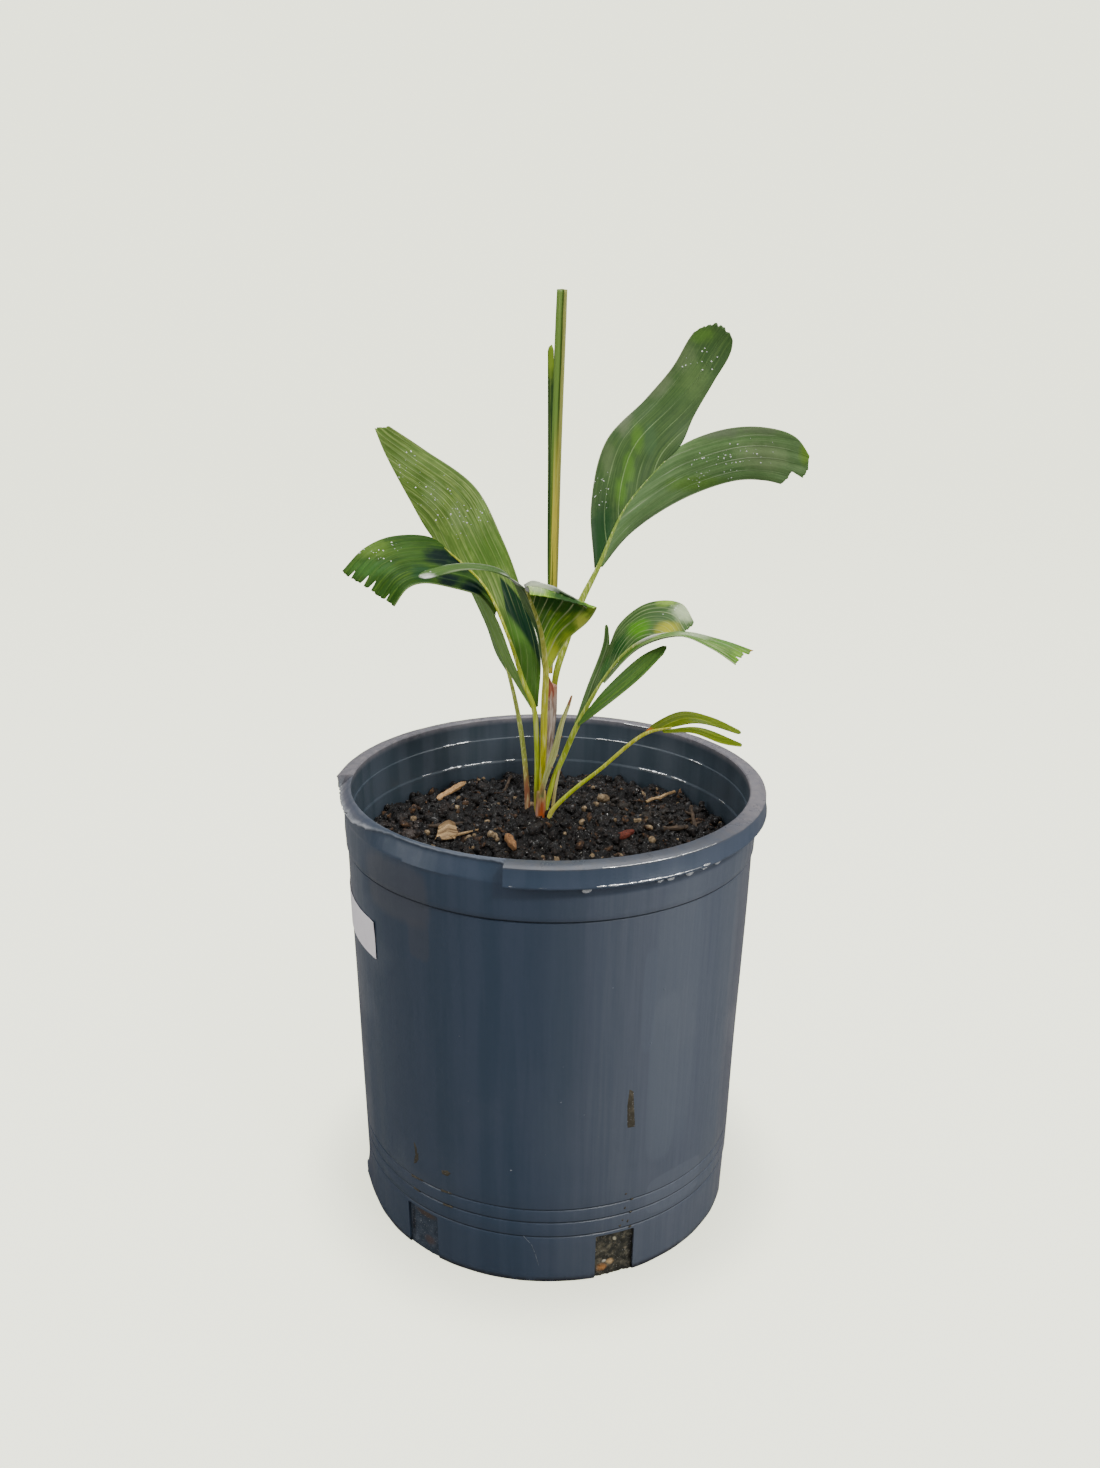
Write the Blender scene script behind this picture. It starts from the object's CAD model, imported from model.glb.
import math

import bmesh
import bpy
import numpy as np
from mathutils import Matrix, Vector, noise


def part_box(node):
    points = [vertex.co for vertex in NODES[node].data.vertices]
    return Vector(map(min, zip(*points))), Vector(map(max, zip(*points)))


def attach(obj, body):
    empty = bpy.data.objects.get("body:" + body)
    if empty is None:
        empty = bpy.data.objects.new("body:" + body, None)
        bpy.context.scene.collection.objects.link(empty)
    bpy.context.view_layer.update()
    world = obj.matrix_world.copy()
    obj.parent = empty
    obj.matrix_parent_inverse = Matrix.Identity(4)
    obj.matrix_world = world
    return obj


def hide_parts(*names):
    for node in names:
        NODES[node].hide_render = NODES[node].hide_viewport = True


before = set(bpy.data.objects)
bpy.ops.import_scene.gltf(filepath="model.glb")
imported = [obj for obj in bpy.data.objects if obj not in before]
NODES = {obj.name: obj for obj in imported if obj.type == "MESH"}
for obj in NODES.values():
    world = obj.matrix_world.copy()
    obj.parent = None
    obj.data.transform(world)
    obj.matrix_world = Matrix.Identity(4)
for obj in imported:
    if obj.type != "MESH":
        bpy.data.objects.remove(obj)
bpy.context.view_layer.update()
MM = 0.001

# Lengths are in millimetres unless a name says otherwise; add_mesh turns them into metres.
RIM_RADIUS = (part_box("pot")[1].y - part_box("pot")[0].y) / MM / 2
POT_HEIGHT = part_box("pot")[1].z / MM
FOOT_RADIUS = RIM_RADIUS * 0.8916
TOP_RADIUS = RIM_RADIUS * 0.9493
RIM_INNER_RADIUS = RIM_RADIUS * 0.919
RIM_SKIRT = 11.2
BAND_HEIGHT = 206.7
BAND_PROUD = 0.8
FLOOR_THICKNESS = 2.5
GROOVE_HEIGHTS = (28.4, 37.1, 44.8)
BREAK_ANGLES = (-90.3, -10.9)
NOTCH_FIRST_ANGLE = 20.5
NOTCH_COUNT = 6
NOTCH_WIDTH = 21.0
NOTCH_HEIGHT = 26.6

SOIL_EDGE_HEIGHT = 198.0
SOIL_MOUND = 14.5
SOIL_MOUND_RADIUS = 48.0
SOIL_RADIUS = 100.6
PLANT_FOOT = (-4.0, 5.0)
PLANT_FOOT_HEIGHT = 212.5
CLUMP = (42.0, 50.0)

# Loose pieces on the soil: centre, length, width, height and turn about Z in degrees
CHIPS = {
    "bark_chip_back_left": ((-57, 64), (27, 4.6, 3.0), 57),
    "bark_chip_front": ((-20, -26), (23, 5.0, 4.6), 104),
    "bark_bit_right": ((39, -10), (16, 5.5, 3.5), 48),
}
TWIGS = {
    "twig_left": ((-55, 5), (20, 2.2), 14),
    "twig_right_back": ((63, 57), (25, 1.9), 44),
    "twig_right": ((79, 30), (34, 2.4), 88),
    "twig_right_front": ((66, 11), (17, 3), 12),
    "twig_dark_back": ((-25, 78), (28, 1.8), 83),
}
PEBBLE = ((30, 43), (7, 6, 5), 20)


def hue(red, green, blue):
    """A colour as it is read off a screen, turned into Blender's linear one."""
    return tuple(((part / 255 + 0.055) / 1.055) ** 2.4 if part > 10 else part / 255 / 12.92
                 for part in (red, green, blue)) + (1.0,)


# Camera, light and ground

def make_camera():
    data = bpy.data.cameras.new("camera")
    data.sensor_fit = "AUTO"
    data.sensor_width = 36
    focal_pixels = 1356.3
    image_height = 1468
    data.lens = focal_pixels / image_height * data.sensor_width
    made = bpy.data.objects.new("camera", data)
    bpy.context.scene.collection.objects.link(made)
    place = Matrix.Translation((-0.0005, -0.6625, 0.4882))
    tilt = Matrix.Rotation(math.radians(90 - 18.94), 4, "X")
    roll = Matrix.Rotation(0.0106, 4, "Z")
    made.matrix_world = place @ tilt @ roll
    bpy.context.scene.camera = made


def area_light(name, place, target, size, power, colour=(1, 1, 1)):
    data = bpy.data.lights.new(name, "AREA")
    data.shape = "RECTANGLE"
    data.size, data.size_y = size
    data.energy = power
    data.color = colour
    made = bpy.data.objects.new(name, data)
    bpy.context.scene.collection.objects.link(made)
    made.location = place
    made.rotation_euler = (Vector(target) - Vector(place)).to_track_quat("-Z", "Y").to_euler()


def make_studio():
    world = bpy.data.worlds.new("studio")
    bpy.context.scene.world = world
    world.use_nodes = True
    world.node_tree.nodes["Background"].inputs["Color"].default_value = (1.0, 0.99, 0.96, 1)
    world.node_tree.nodes["Background"].inputs["Strength"].default_value = 0.42
    area_light("sky", (0.0, 0.25, 1.6), (0, 0, 0.25), (1.5, 1.3), 24)
    area_light("side", (1.25, -0.75, 0.8), (0, 0, 0.2), (0.5, 1.2), 9)
    area_light("sun", (0.75, -1.0, 1.5), (0, 0, 0.3), (0.22, 0.22), 13, (1, 0.98, 0.93))
    area_light("left", (-1.3, -0.35, 0.8), (0, 0, 0.25), (0.35, 1.0), 7.0)


def make_ground():
    """A pale floor that curves up into a backdrop far behind. What the camera sees of it is
    nearly even, as on a cut-out photograph, and only its softest shadow is left."""
    bm = bmesh.new()
    bend = 1.2
    back = 3.0
    profile = [(-4.0, 0.0), (back, 0.0)]
    for step in range(1, 13):
        turn = math.radians(90) * step / 12
        profile.append((back + bend * math.sin(turn), bend - bend * math.cos(turn)))
    profile.append((back + bend, 6.0))
    left = [bm.verts.new((-6, y, z)) for y, z in profile]
    right = [bm.verts.new((6, y, z)) for y, z in profile]
    for a, b, c, d in zip(left, right, right[1:], left[1:]):
        bm.faces.new((a, b, c, d))
    mesh = bpy.data.meshes.new("ground")
    bm.to_mesh(mesh)
    bm.free()
    made = bpy.data.objects.new("ground", mesh)
    bpy.context.scene.collection.objects.link(made)
    paper, shade, sockets = new_material("ground_paper", Base_Color=(0.25, 0.25, 0.25, 1),
                                         Roughness=1.0, Specular_IOR_Level=0.0,
                                         Emission_Color=(0.98, 1.0, 0.78, 1))
    seen = shade.node("ShaderNodeLightPath").outputs["Is Camera Ray"]
    x, y, _ = shade.split(shade.place())
    off = shade.vector("LENGTH", shade.join(x, y), None)
    glow = shade.ramp(off, 0.098, 0.150, 1.75, 2.5)
    shade.feed(sockets["Emission Strength"], shade.math("MULTIPLY", seen, glow))
    mesh.materials.append(paper)
    mesh.shade_smooth()


# Shared mesh helpers

def add_mesh(name, bm_or_arrays):
    """Link a mesh given in millimetres, placed in its vertices."""
    mesh = bpy.data.meshes.new(name)
    if isinstance(bm_or_arrays, bmesh.types.BMesh):
        bm_or_arrays.to_mesh(mesh)
        bm_or_arrays.free()
    else:
        points, faces = bm_or_arrays
        mesh.from_pydata([tuple(point) for point in points], [], faces)
    mesh.transform(Matrix.Scale(MM, 4))
    made = bpy.data.objects.new(name, mesh)
    bpy.context.scene.collection.objects.link(made)
    return made


def freeze(made, name=None):
    """Apply every modifier, so that the piece is a plain mesh."""
    graph = bpy.context.evaluated_depsgraph_get()
    graph.update()
    mesh = bpy.data.meshes.new_from_object(made.evaluated_get(graph))
    made.modifiers.clear()
    made.data = mesh
    mesh.name = name or made.name
    return made


def piece(made, material=None, nodes=()):
    """Declare a finished piece: its finish and the nodes it stands for."""
    if material:
        made.data.materials.clear()
        made.data.materials.append(material)
    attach(made, "root")
    if nodes:
        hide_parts(*nodes)
    return made


def smooth_path(points, count):
    """Sample a centripetal Catmull-Rom curve through the points at even lengths."""
    points = np.array(points, dtype=float)
    points = np.vstack((2 * points[0] - points[1], points, 2 * points[-1] - points[-2]))
    steps = np.linalg.norm(np.diff(points, axis=0), axis=1) ** 0.5
    knots = np.concatenate(([0], np.cumsum(steps)))
    fine = []
    for first in range(len(points) - 3):
        t0, t1, t2, t3 = knots[first:first + 4]
        p0, p1, p2, p3 = points[first:first + 4]
        for t in np.linspace(t1, t2, 24, endpoint=False):
            a1 = p0 + (p1 - p0) * (t - t0) / (t1 - t0)
            a2 = p1 + (p2 - p1) * (t - t1) / (t2 - t1)
            a3 = p2 + (p3 - p2) * (t - t2) / (t3 - t2)
            b1 = a1 + (a2 - a1) * (t - t0) / (t2 - t0)
            b2 = a2 + (a3 - a2) * (t - t1) / (t3 - t1)
            fine.append(b1 + (b2 - b1) * (t - t1) / (t2 - t1))
    fine = np.array(fine + [points[-2]])
    length = np.concatenate(([0], np.cumsum(np.linalg.norm(np.diff(fine, axis=0), axis=1))))
    even = np.linspace(0, length[-1], count)
    return np.stack([np.interp(even, length, fine[:, axis]) for axis in range(3)], axis=1)


def set_attribute(mesh, name, values):
    layer = mesh.attributes.new(name, "FLOAT", "POINT")
    layer.data.foreach_set("value", np.asarray(values, dtype=np.float32).ravel())


def set_uv(mesh, per_vertex):
    """A UV map that follows the surface: one (u, v) for each vertex."""
    layer = mesh.uv_layers.new(name="UVMap")
    corner = np.zeros(len(mesh.loops), dtype=np.int32)
    mesh.loops.foreach_get("vertex_index", corner)
    layer.data.foreach_set("uv", np.asarray(per_vertex, dtype=np.float32)[corner].ravel())


def wobble(x, y=0.0, z=0.0):
    return noise.noise(Vector((x, y, z)))


# Materials

class Shade:
    """A short way to write a node tree: each method adds one node and returns its output."""

    def __init__(self, tree):
        self.tree = tree

    def node(self, kind, **settings):
        made = self.tree.nodes.new(kind)
        for key, value in settings.items():
            setattr(made, key, value)
        return made

    def feed(self, socket, value):
        if isinstance(value, bpy.types.NodeSocket):
            self.tree.links.new(value, socket)
        elif value is not None:
            socket.default_value = value

    def math(self, operation, first, second=0.0, third=None, clamp=False):
        made = self.node("ShaderNodeMath", operation=operation, use_clamp=clamp)
        self.feed(made.inputs[0], first)
        self.feed(made.inputs[1], second)
        self.feed(made.inputs[2], third)
        return made.outputs[0]

    def vector(self, operation, first, second):
        made = self.node("ShaderNodeVectorMath", operation=operation)
        self.feed(made.inputs[0], first)
        self.feed(made.inputs[1], second)
        return made.outputs["Value" if operation == "LENGTH" else "Vector"]

    def mix(self, amount, first, second, blend="MIX"):
        made = self.node("ShaderNodeMix", data_type="RGBA", blend_type=blend)
        self.feed(made.inputs["Factor"], amount)
        self.feed(made.inputs["A"], first)
        self.feed(made.inputs["B"], second)
        return made.outputs["Result"]

    def ramp(self, value, low, high, to_low=0.0, to_high=1.0, smooth=True):
        made = self.node("ShaderNodeMapRange", clamp=True,
                         interpolation_type="SMOOTHSTEP" if smooth else "LINEAR")
        self.feed(made.inputs["Value"], value)
        self.feed(made.inputs["From Min"], low)
        self.feed(made.inputs["From Max"], high)
        self.feed(made.inputs["To Min"], to_low)
        self.feed(made.inputs["To Max"], to_high)
        return made.outputs["Result"]

    def noise(self, vector, scale, detail=3.0, roughness=0.55, distortion=0.0):
        made = self.node("ShaderNodeTexNoise")
        self.feed(made.inputs["Vector"], vector)
        self.feed(made.inputs["Scale"], scale)
        self.feed(made.inputs["Detail"], detail)
        self.feed(made.inputs["Roughness"], roughness)
        self.feed(made.inputs["Distortion"], distortion)
        return made.outputs["Fac"]

    def attribute(self, name):
        return self.node("ShaderNodeAttribute", attribute_name=name).outputs["Fac"]

    def place(self):
        return self.node("ShaderNodeTexCoord").outputs["Object"]

    def split(self, vector):
        made = self.node("ShaderNodeSeparateXYZ")
        self.feed(made.inputs[0], vector)
        return made.outputs

    def join(self, x, y, z=0.0):
        made = self.node("ShaderNodeCombineXYZ")
        self.feed(made.inputs[0], x)
        self.feed(made.inputs[1], y)
        self.feed(made.inputs[2], z)
        return made.outputs[0]

    def group(self, tree, **values):
        made = self.node("ShaderNodeGroup", node_tree=tree)
        for key, value in values.items():
            self.feed(made.inputs[key.replace("_", " ")], value)
        return made.outputs

    def bump(self, height, distance, strength=1.0):
        made = self.node("ShaderNodeBump")
        self.feed(made.inputs["Height"], height)
        made.inputs["Distance"].default_value = distance
        made.inputs["Strength"].default_value = strength
        return made.outputs["Normal"]


def shader_group(name, inputs, outputs):
    """A new node group with float or colour sockets."""
    tree = bpy.data.node_groups.new(name, "ShaderNodeTree")
    for label, kind, value in inputs:
        socket = tree.interface.new_socket(label, in_out="INPUT", socket_type=kind)
        if value is not None:
            socket.default_value = value
    for label, kind in outputs:
        tree.interface.new_socket(label, in_out="OUTPUT", socket_type=kind)
    shade = Shade(tree)
    start = tree.nodes.new("NodeGroupInput").outputs
    end = tree.nodes.new("NodeGroupOutput").inputs
    return tree, shade, start, end


def new_material(name, **constants):
    made = bpy.data.materials.new(name)
    made.use_nodes = True
    shader = made.node_tree.nodes["Principled BSDF"]
    for key, value in constants.items():
        shader.inputs[key.replace("_", " ")].default_value = value
    return made, Shade(made.node_tree), shader.inputs


COLOUR = "NodeSocketColor"
NUMBER = "NodeSocketFloat"
VECTOR = "NodeSocketVector"


def blotch_group():
    """Soft uneven tone over a surface, from its own place on the object."""
    tree, shade, start, end = shader_group(
        "blotches", [("Scale", NUMBER, 40.0), ("Amount", NUMBER, 0.3)], [("Value", NUMBER)])
    field = shade.noise(shade.place(), start["Scale"], 4.0, 0.6)
    centred = shade.math("MULTIPLY", shade.math("SUBTRACT", field, 0.5), start["Amount"])
    shade.feed(end["Value"], shade.math("ADD", centred, 1.0))
    return tree


def vein_group():
    """Parallel veins on a blade. U counts millimetres / 50 from the outer edge, V runs along."""
    tree, shade, start, end = shader_group(
        "parallel_veins",
        [("Pitch", NUMBER, 6.5), ("Vein Width", NUMBER, 0.5), ("Seed", NUMBER, 0.0)],
        [("Vein", NUMBER), ("Stripe", NUMBER), ("Fine", NUMBER)])
    uv = shade.node("ShaderNodeUVMap", uv_map="UVMap").outputs["UV"]
    u, v, _ = shade.split(uv)
    across = shade.math("MULTIPLY", u, 50.0)
    drift_place = shade.join(shade.math("MULTIPLY", u, 6.0), shade.math("MULTIPLY", v, 3.0),
                             start["Seed"])
    drift = shade.math("MULTIPLY", shade.math("SUBTRACT", shade.noise(drift_place, 1.0, 1.0), 0.5),
                       3.0)
    bent = shade.math("ADD", across, drift)
    half = shade.math("MULTIPLY", start["Pitch"], 0.5)
    off = shade.math("PINGPONG", bent, half)
    vein = shade.ramp(off, 0.0, start["Vein Width"], 1.0, 0.0)
    broken = shade.noise(shade.join(shade.math("MULTIPLY", u, 12.0), shade.math("MULTIPLY", v, 9.0),
                                    start["Seed"]), 1.0, 2.0)
    shade.feed(end["Vein"], shade.math("MULTIPLY", vein, shade.ramp(broken, 0.3, 0.62)))
    stripe_place = shade.join(shade.math("MULTIPLY", u, 24.0), shade.math("MULTIPLY", v, 14.0),
                              start["Seed"])
    shade.feed(end["Stripe"], shade.noise(stripe_place, 1.0, 3.0, 0.6))
    fine_place = shade.join(shade.math("MULTIPLY", u, 75.0), shade.math("MULTIPLY", v, 5.0),
                            start["Seed"])
    shade.feed(end["Fine"], shade.noise(fine_place, 1.0, 3.0, 0.6))
    return tree


def patch_group():
    """1 in the middle of an egg-shaped zone of the object, fading out over a ragged edge."""
    tree, shade, start, end = shader_group(
        "soft_patch", [("Centre", VECTOR, None), ("Radii", VECTOR, None), ("Rough", NUMBER, 0.0)],
        [("Value", NUMBER)])
    away = shade.vector("DIVIDE", shade.vector("SUBTRACT", shade.place(), start["Centre"]),
                        start["Radii"])
    far = shade.math("ADD", shade.vector("LENGTH", away, None), start["Rough"])
    shade.feed(end["Value"], shade.ramp(far, 0.3, 1.0, 1.0, 0.0))
    return tree


def wall_patch_group():
    """1 inside a ragged zone of the pot's wall, given by its angle in degrees and its height."""
    tree, shade, start, end = shader_group(
        "wall_patch",
        [("Angle", NUMBER, 0.0), ("Height", NUMBER, 0.1), ("Half Angle", NUMBER, 5.0),
         ("Half Height", NUMBER, 0.02), ("Softness", NUMBER, 0.25), ("Rough", NUMBER, 0.0)],
        [("Value", NUMBER)])
    x, y, z = shade.split(shade.place())
    angle = shade.math("MULTIPLY", shade.math("ARCTAN2", x, shade.math("MULTIPLY", y, -1.0)),
                       180 / math.pi)
    sideways = shade.math("DIVIDE", shade.math("SUBTRACT", angle, start["Angle"]),
                          start["Half Angle"])
    upwards = shade.math("DIVIDE", shade.math("SUBTRACT", z, start["Height"]), start["Half Height"])
    squared = [shade.math("POWER", shade.math("ABSOLUTE", way), 2.0) for way in (sideways, upwards)]
    far = shade.vector("LENGTH", shade.join(*squared), None)
    far = shade.math("ADD", far, start["Rough"])
    inner = shade.math("SUBTRACT", 1.0, start["Softness"])
    shade.feed(end["Value"], shade.ramp(far, inner, 1.0, 1.0, 0.0))
    return tree


def apply_patches(shade, colour, patches):
    """Lay coloured zones over a colour. Each is a centre and radii in mm, a colour, a strength."""
    if not patches:
        return colour
    rough = shade.math("MULTIPLY", shade.math("SUBTRACT", shade.noise(shade.place(), 260.0, 3.0), 0.5),
                       0.6)
    for centre, radii, tint, strength in patches:
        zone = shade.group(GROUPS["patch"], Centre=[value * MM for value in centre],
                           Radii=[value * MM for value in radii], Rough=rough)["Value"]
        colour = shade.mix(shade.math("MULTIPLY", zone, strength), colour, tint)
    return colour


def leaf_material(name, light, dark, vein, margin, pitch=6.5, vein_strength=0.6, stripe=0.5,
                  patches=(), seed=0.0, rough=0.42, veins_until=1.4, vein_width=0.4, coat=0.06,
                  gloss=0.2, base_zone=None):
    """A waxy palm blade: parallel veins and stripes, fine grain, a paler margin, worn zones.
    The base zone is a dark part next to the foot: where it ends across the blade at along 0,
    how fast that line moves outward, where it stops, and its low and high colour."""
    made, shade, sockets = new_material(name, Specular_IOR_Level=gloss, Coat_Roughness=0.2)
    veins = shade.group(GROUPS["veins"], Pitch=pitch, Vein_Width=vein_width, Seed=seed)
    tone = shade.group(GROUPS["blotches"], Scale=90.0, Amount=0.6)["Value"]
    along = shade.attribute("along")
    depth = shade.attribute("depth")
    colour = shade.mix(shade.ramp(veins["Fine"], 0.35, 0.68), dark, light)
    colour = shade.mix(shade.math("MULTIPLY", shade.ramp(veins["Stripe"], 0.56, 0.44), stripe),
                       colour, dark)
    colour = apply_patches(shade, colour, patches)
    if base_zone:
        across_at, slope, until, low_tint, high_tint = base_zone
        line = shade.math("ADD", shade.math("MULTIPLY", along, slope), across_at)
        beyond = shade.ramp(shade.math("SUBTRACT", shade.attribute("across"), line), -0.02, 0.03)
        reach = shade.math("ADD", along, shade.math("MULTIPLY", shade.attribute("across"), 0.25))
        zone = shade.math("MULTIPLY", beyond, shade.ramp(reach, until, until - 0.02))
        tint = shade.mix(shade.ramp(reach, 0.325, 0.375), low_tint, high_tint)
        tint = shade.mix(shade.ramp(veins["Fine"], 0.5, 0.75, 0.0, 0.3), tint, low_tint)
        colour = shade.mix(zone, colour, tint)
    colour = shade.mix(shade.ramp(depth, 0.9, 0.2, 0.0, 0.5), colour, margin)
    strength = shade.ramp(along, veins_until - 0.25, veins_until, vein_strength, 0.0)
    colour = shade.mix(shade.math("MULTIPLY", veins["Vein"], strength), colour, vein)
    colour = shade.mix(1.0, colour, tone, "MULTIPLY")
    shade.feed(sockets["Base Color"], colour)
    dust = shade.noise(shade.place(), 900.0, 2.0)
    shade.feed(sockets["Roughness"],
               shade.math("ADD", shade.math("MULTIPLY", dust, 0.2), rough - 0.08))
    shade.feed(sockets["Coat Weight"], shade.ramp(shade.noise(shade.place(), 60.0), 0.45, 0.62,
                                                  coat * 0.3, coat))
    height = shade.math("ADD", shade.math("MULTIPLY", veins["Vein"], 0.7),
                        shade.math("MULTIPLY", veins["Fine"], 0.35))
    shade.feed(sockets["Normal"], shade.bump(height, 0.0004, 0.5))
    return made


def stalk_material(name, foot, low, high, rough=0.34, foot_until=0.2, patches=()):
    """A stalk: reddish sheath colour at the foot, then green to yellow, with long pale fibres."""
    made, shade, sockets = new_material(name, Specular_IOR_Level=0.28, Coat_Roughness=0.2)
    along = shade.attribute("along")
    x, y, z = shade.split(shade.place())
    fibre_place = shade.join(shade.math("MULTIPLY", x, 900.0), shade.math("MULTIPLY", y, 900.0),
                             shade.math("MULTIPLY", z, 45.0))
    fibre = shade.noise(fibre_place, 1.0, 3.0, 0.6)
    body = shade.mix(shade.ramp(along, 0.15, 0.9), low, high)
    body = shade.mix(shade.ramp(fibre, 0.54, 0.42, 0.0, 0.35), body,
                     shade.mix(1.0, body, (0.45, 0.5, 0.4, 1), "MULTIPLY"))
    edge = shade.math("ADD", along, shade.math("MULTIPLY", fibre, 0.10))
    body = shade.mix(shade.ramp(edge, foot_until, foot_until + 0.14, 1.0, 0.0), body, foot)
    body = shade.mix(shade.ramp(fibre, 0.52, 0.70, 0.0, 0.55), body, hue(236, 232, 176))
    body = apply_patches(shade, body, patches)
    shade.feed(sockets["Base Color"], body)
    shade.feed(sockets["Roughness"], shade.ramp(fibre, 0.3, 0.7, rough - 0.06, rough + 0.14))
    shade.feed(sockets["Coat Weight"], 0.12)
    shade.feed(sockets["Normal"], shade.bump(fibre, 0.0004, 0.6))
    return made


def pot_material():
    """Slate blue nursery plastic: a dried film and runs on its right, mud dust on its foot."""
    made, shade, sockets = new_material("pot_plastic", Specular_IOR_Level=0.4, Coat_Roughness=0.1)
    place = shade.place()
    x, y, z = shade.split(place)
    angle = shade.math("MULTIPLY", shade.math("ARCTAN2", x, shade.math("MULTIPLY", y, -1.0)),
                       180 / math.pi)
    streak = shade.noise(shade.vector("MULTIPLY", place, (80.0, 80.0, 3.5)), 1.0, 4.0, 0.6)
    fine_streak = shade.noise(shade.vector("MULTIPLY", place, (380.0, 380.0, 8.0)), 1.0, 3.0, 0.6)
    front_half = shade.ramp(shade.math("ABSOLUTE", angle), 100.0, 165.0, 1.0, 0.0)
    cloud = shade.noise(place, 16.0, 3.0, 0.5)
    body = shade.mix(shade.ramp(streak, 0.38, 0.62), hue(50, 65, 84), hue(58, 71, 90))
    shadow = shade.math("MULTIPLY", shade.ramp(angle, -16.0, -42.0, 0.0, 0.2), front_half)
    body = shade.mix(shadow, body, hue(34, 48, 60))
    film = shade.math("MULTIPLY", shade.ramp(angle, -10.0, 27.0),
                      shade.ramp(fine_streak, 0.2, 0.8, 0.65, 1.0))
    film = shade.math("MULTIPLY", film, shade.ramp(angle, 38.0, 62.0, 1.0, 0.76))
    film = shade.math("MULTIPLY", film, shade.ramp(z, 0.2185, 0.2205, 1.0, 0.35))
    film = shade.math("MULTIPLY", film, front_half)
    body = shade.mix(shade.math("MULTIPLY", film, 0.8), body, hue(95, 101, 113))
    uneven = shade.math("MULTIPLY", shade.math("SUBTRACT", fine_streak, 0.5), 0.5)
    for turn, height, half_angle, half_height, soft, strength, tint in (
            (33.5, 0.112, 5.4, 0.050, 0.2, 0.3, hue(98, 106, 118)),
            (37.0, 0.146, 9.0, 0.085, 0.5, 0.35, hue(96, 104, 116)),
            (27.5, 0.158, 2.4, 0.030, 0.3, 0.3, hue(92, 101, 115)),
            (41.0, 0.042, 11.5, 0.012, 0.12, 0.42, hue(98, 105, 118)),
            (-44.0, 0.208, 14.0, 0.018, 0.5, 0.6, hue(74, 76, 84)),
            (-36.0, 0.186, 4.0, 0.012, 0.5, 0.4, hue(70, 72, 80)),
            (-82.0, 0.110, 19.0, 0.150, 0.95, 0.4, hue(78, 74, 88)),
            (76.0, 0.120, 17.0, 0.150, 0.95, 0.4, hue(90, 86, 94))):
        zone = shade.group(GROUPS["wall_patch"], Angle=turn, Height=height, Half_Angle=half_angle,
                           Half_Height=half_height, Softness=soft, Rough=uneven)["Value"]
        body = shade.mix(shade.math("MULTIPLY", zone, strength), body, tint)
    for height, half, strength in ((28.75, 0.55, 0.75), (37.45, 0.55, 0.75), (45.15, 0.5, 0.7),
                                   (206.1, 0.5, 0.85)):
        off = shade.math("ABSOLUTE", shade.math("SUBTRACT", z, height * MM))
        line = shade.ramp(off, half * MM * 0.6, half * MM * 1.3, strength, 0.0)
        body = shade.mix(line, body, hue(22, 32, 42))
    inside = shade.attribute("inside")
    band = shade.mix(shade.ramp(streak, 0.36, 0.6), hue(58, 70, 80), hue(68, 78, 89))
    body = shade.mix(inside, body, band)
    worn = shade.attribute("worn")
    scuff = shade.noise(place, 240.0, 4.0, 0.7)
    bare = shade.mix(shade.ramp(shade.math("ABSOLUTE", angle), 40.0, 80.0), hue(74, 76, 82),
                     hue(132, 128, 132))
    body = shade.mix(shade.math("MULTIPLY", worn, shade.ramp(scuff, 0.3, 0.7, 0.6, 1.0)), body, bare)
    torn = shade.attribute("torn")
    body = shade.mix(shade.math("MULTIPLY", torn, shade.ramp(scuff, 0.3, 0.6, 0.4, 1.0)), body,
                     hue(150, 154, 160))
    speck = shade.noise(place, 620.0, 2.0)
    body = shade.mix(shade.ramp(speck, 0.74, 0.82, 0.0, 0.3), body, hue(120, 125, 130))
    dirt = shade.math("MULTIPLY", shade.ramp(z, 0.0040, 0.0014),
                      shade.ramp(shade.noise(place, 160.0, 4.0), 0.25, 0.5))
    body = shade.mix(shade.math("MULTIPLY", dirt, 0.85), body, hue(26, 26, 34))
    shade.feed(sockets["Base Color"], body)
    rough = shade.ramp(shade.math("ADD", streak, shade.math("MULTIPLY", scuff, 0.15)), 0.38, 0.72,
                       0.30, 0.46)
    shade.feed(sockets["Roughness"], shade.math("SUBTRACT", rough, shade.math("MULTIPLY", worn, 0.06)))
    shade.feed(sockets["Coat Weight"], shade.ramp(cloud, 0.5, 0.62, 0.0, 0.3))
    grain = shade.math("ADD", shade.math("MULTIPLY", scuff, 0.4), shade.math("MULTIPLY", streak, 1.2))
    shade.feed(sockets["Normal"], shade.bump(grain, 0.0004, 0.4))
    return made


def earth_material(name, dark, light, wet=0.3, scale=500.0, patches=()):
    """Crumbly damp matter: two tones, rough, with a wet glint here and there."""
    made, shade, sockets = new_material(name, Specular_IOR_Level=0.3, Coat_Roughness=0.08)
    place = shade.place()
    tone = shade.noise(place, scale, 5.0, 0.65)
    patch = shade.noise(place, 70.0, 3.0)
    body = shade.mix(shade.ramp(tone, 0.42, 0.74), dark, light)
    body = shade.mix(shade.ramp(patch, 0.42, 0.66, 0.0, 0.5), body, dark)
    body = apply_patches(shade, body, patches)
    fleck = shade.noise(place, 1300.0, 2.0)
    body = shade.mix(shade.ramp(fleck, 0.64, 0.72, 0.0, 0.4), body, shade.mix(0.5, light, (1, 1, 1, 1)))
    shade.feed(sockets["Base Color"], body)
    shade.feed(sockets["Roughness"], shade.ramp(tone, 0.3, 0.7, 0.92 - wet, 0.95))
    shade.feed(sockets["Coat Weight"], shade.ramp(shade.noise(place, 330.0), 0.58, 0.66, 0.0, wet))
    shade.feed(sockets["Normal"], shade.bump(tone, 0.0012, 0.9))
    return made


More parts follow.
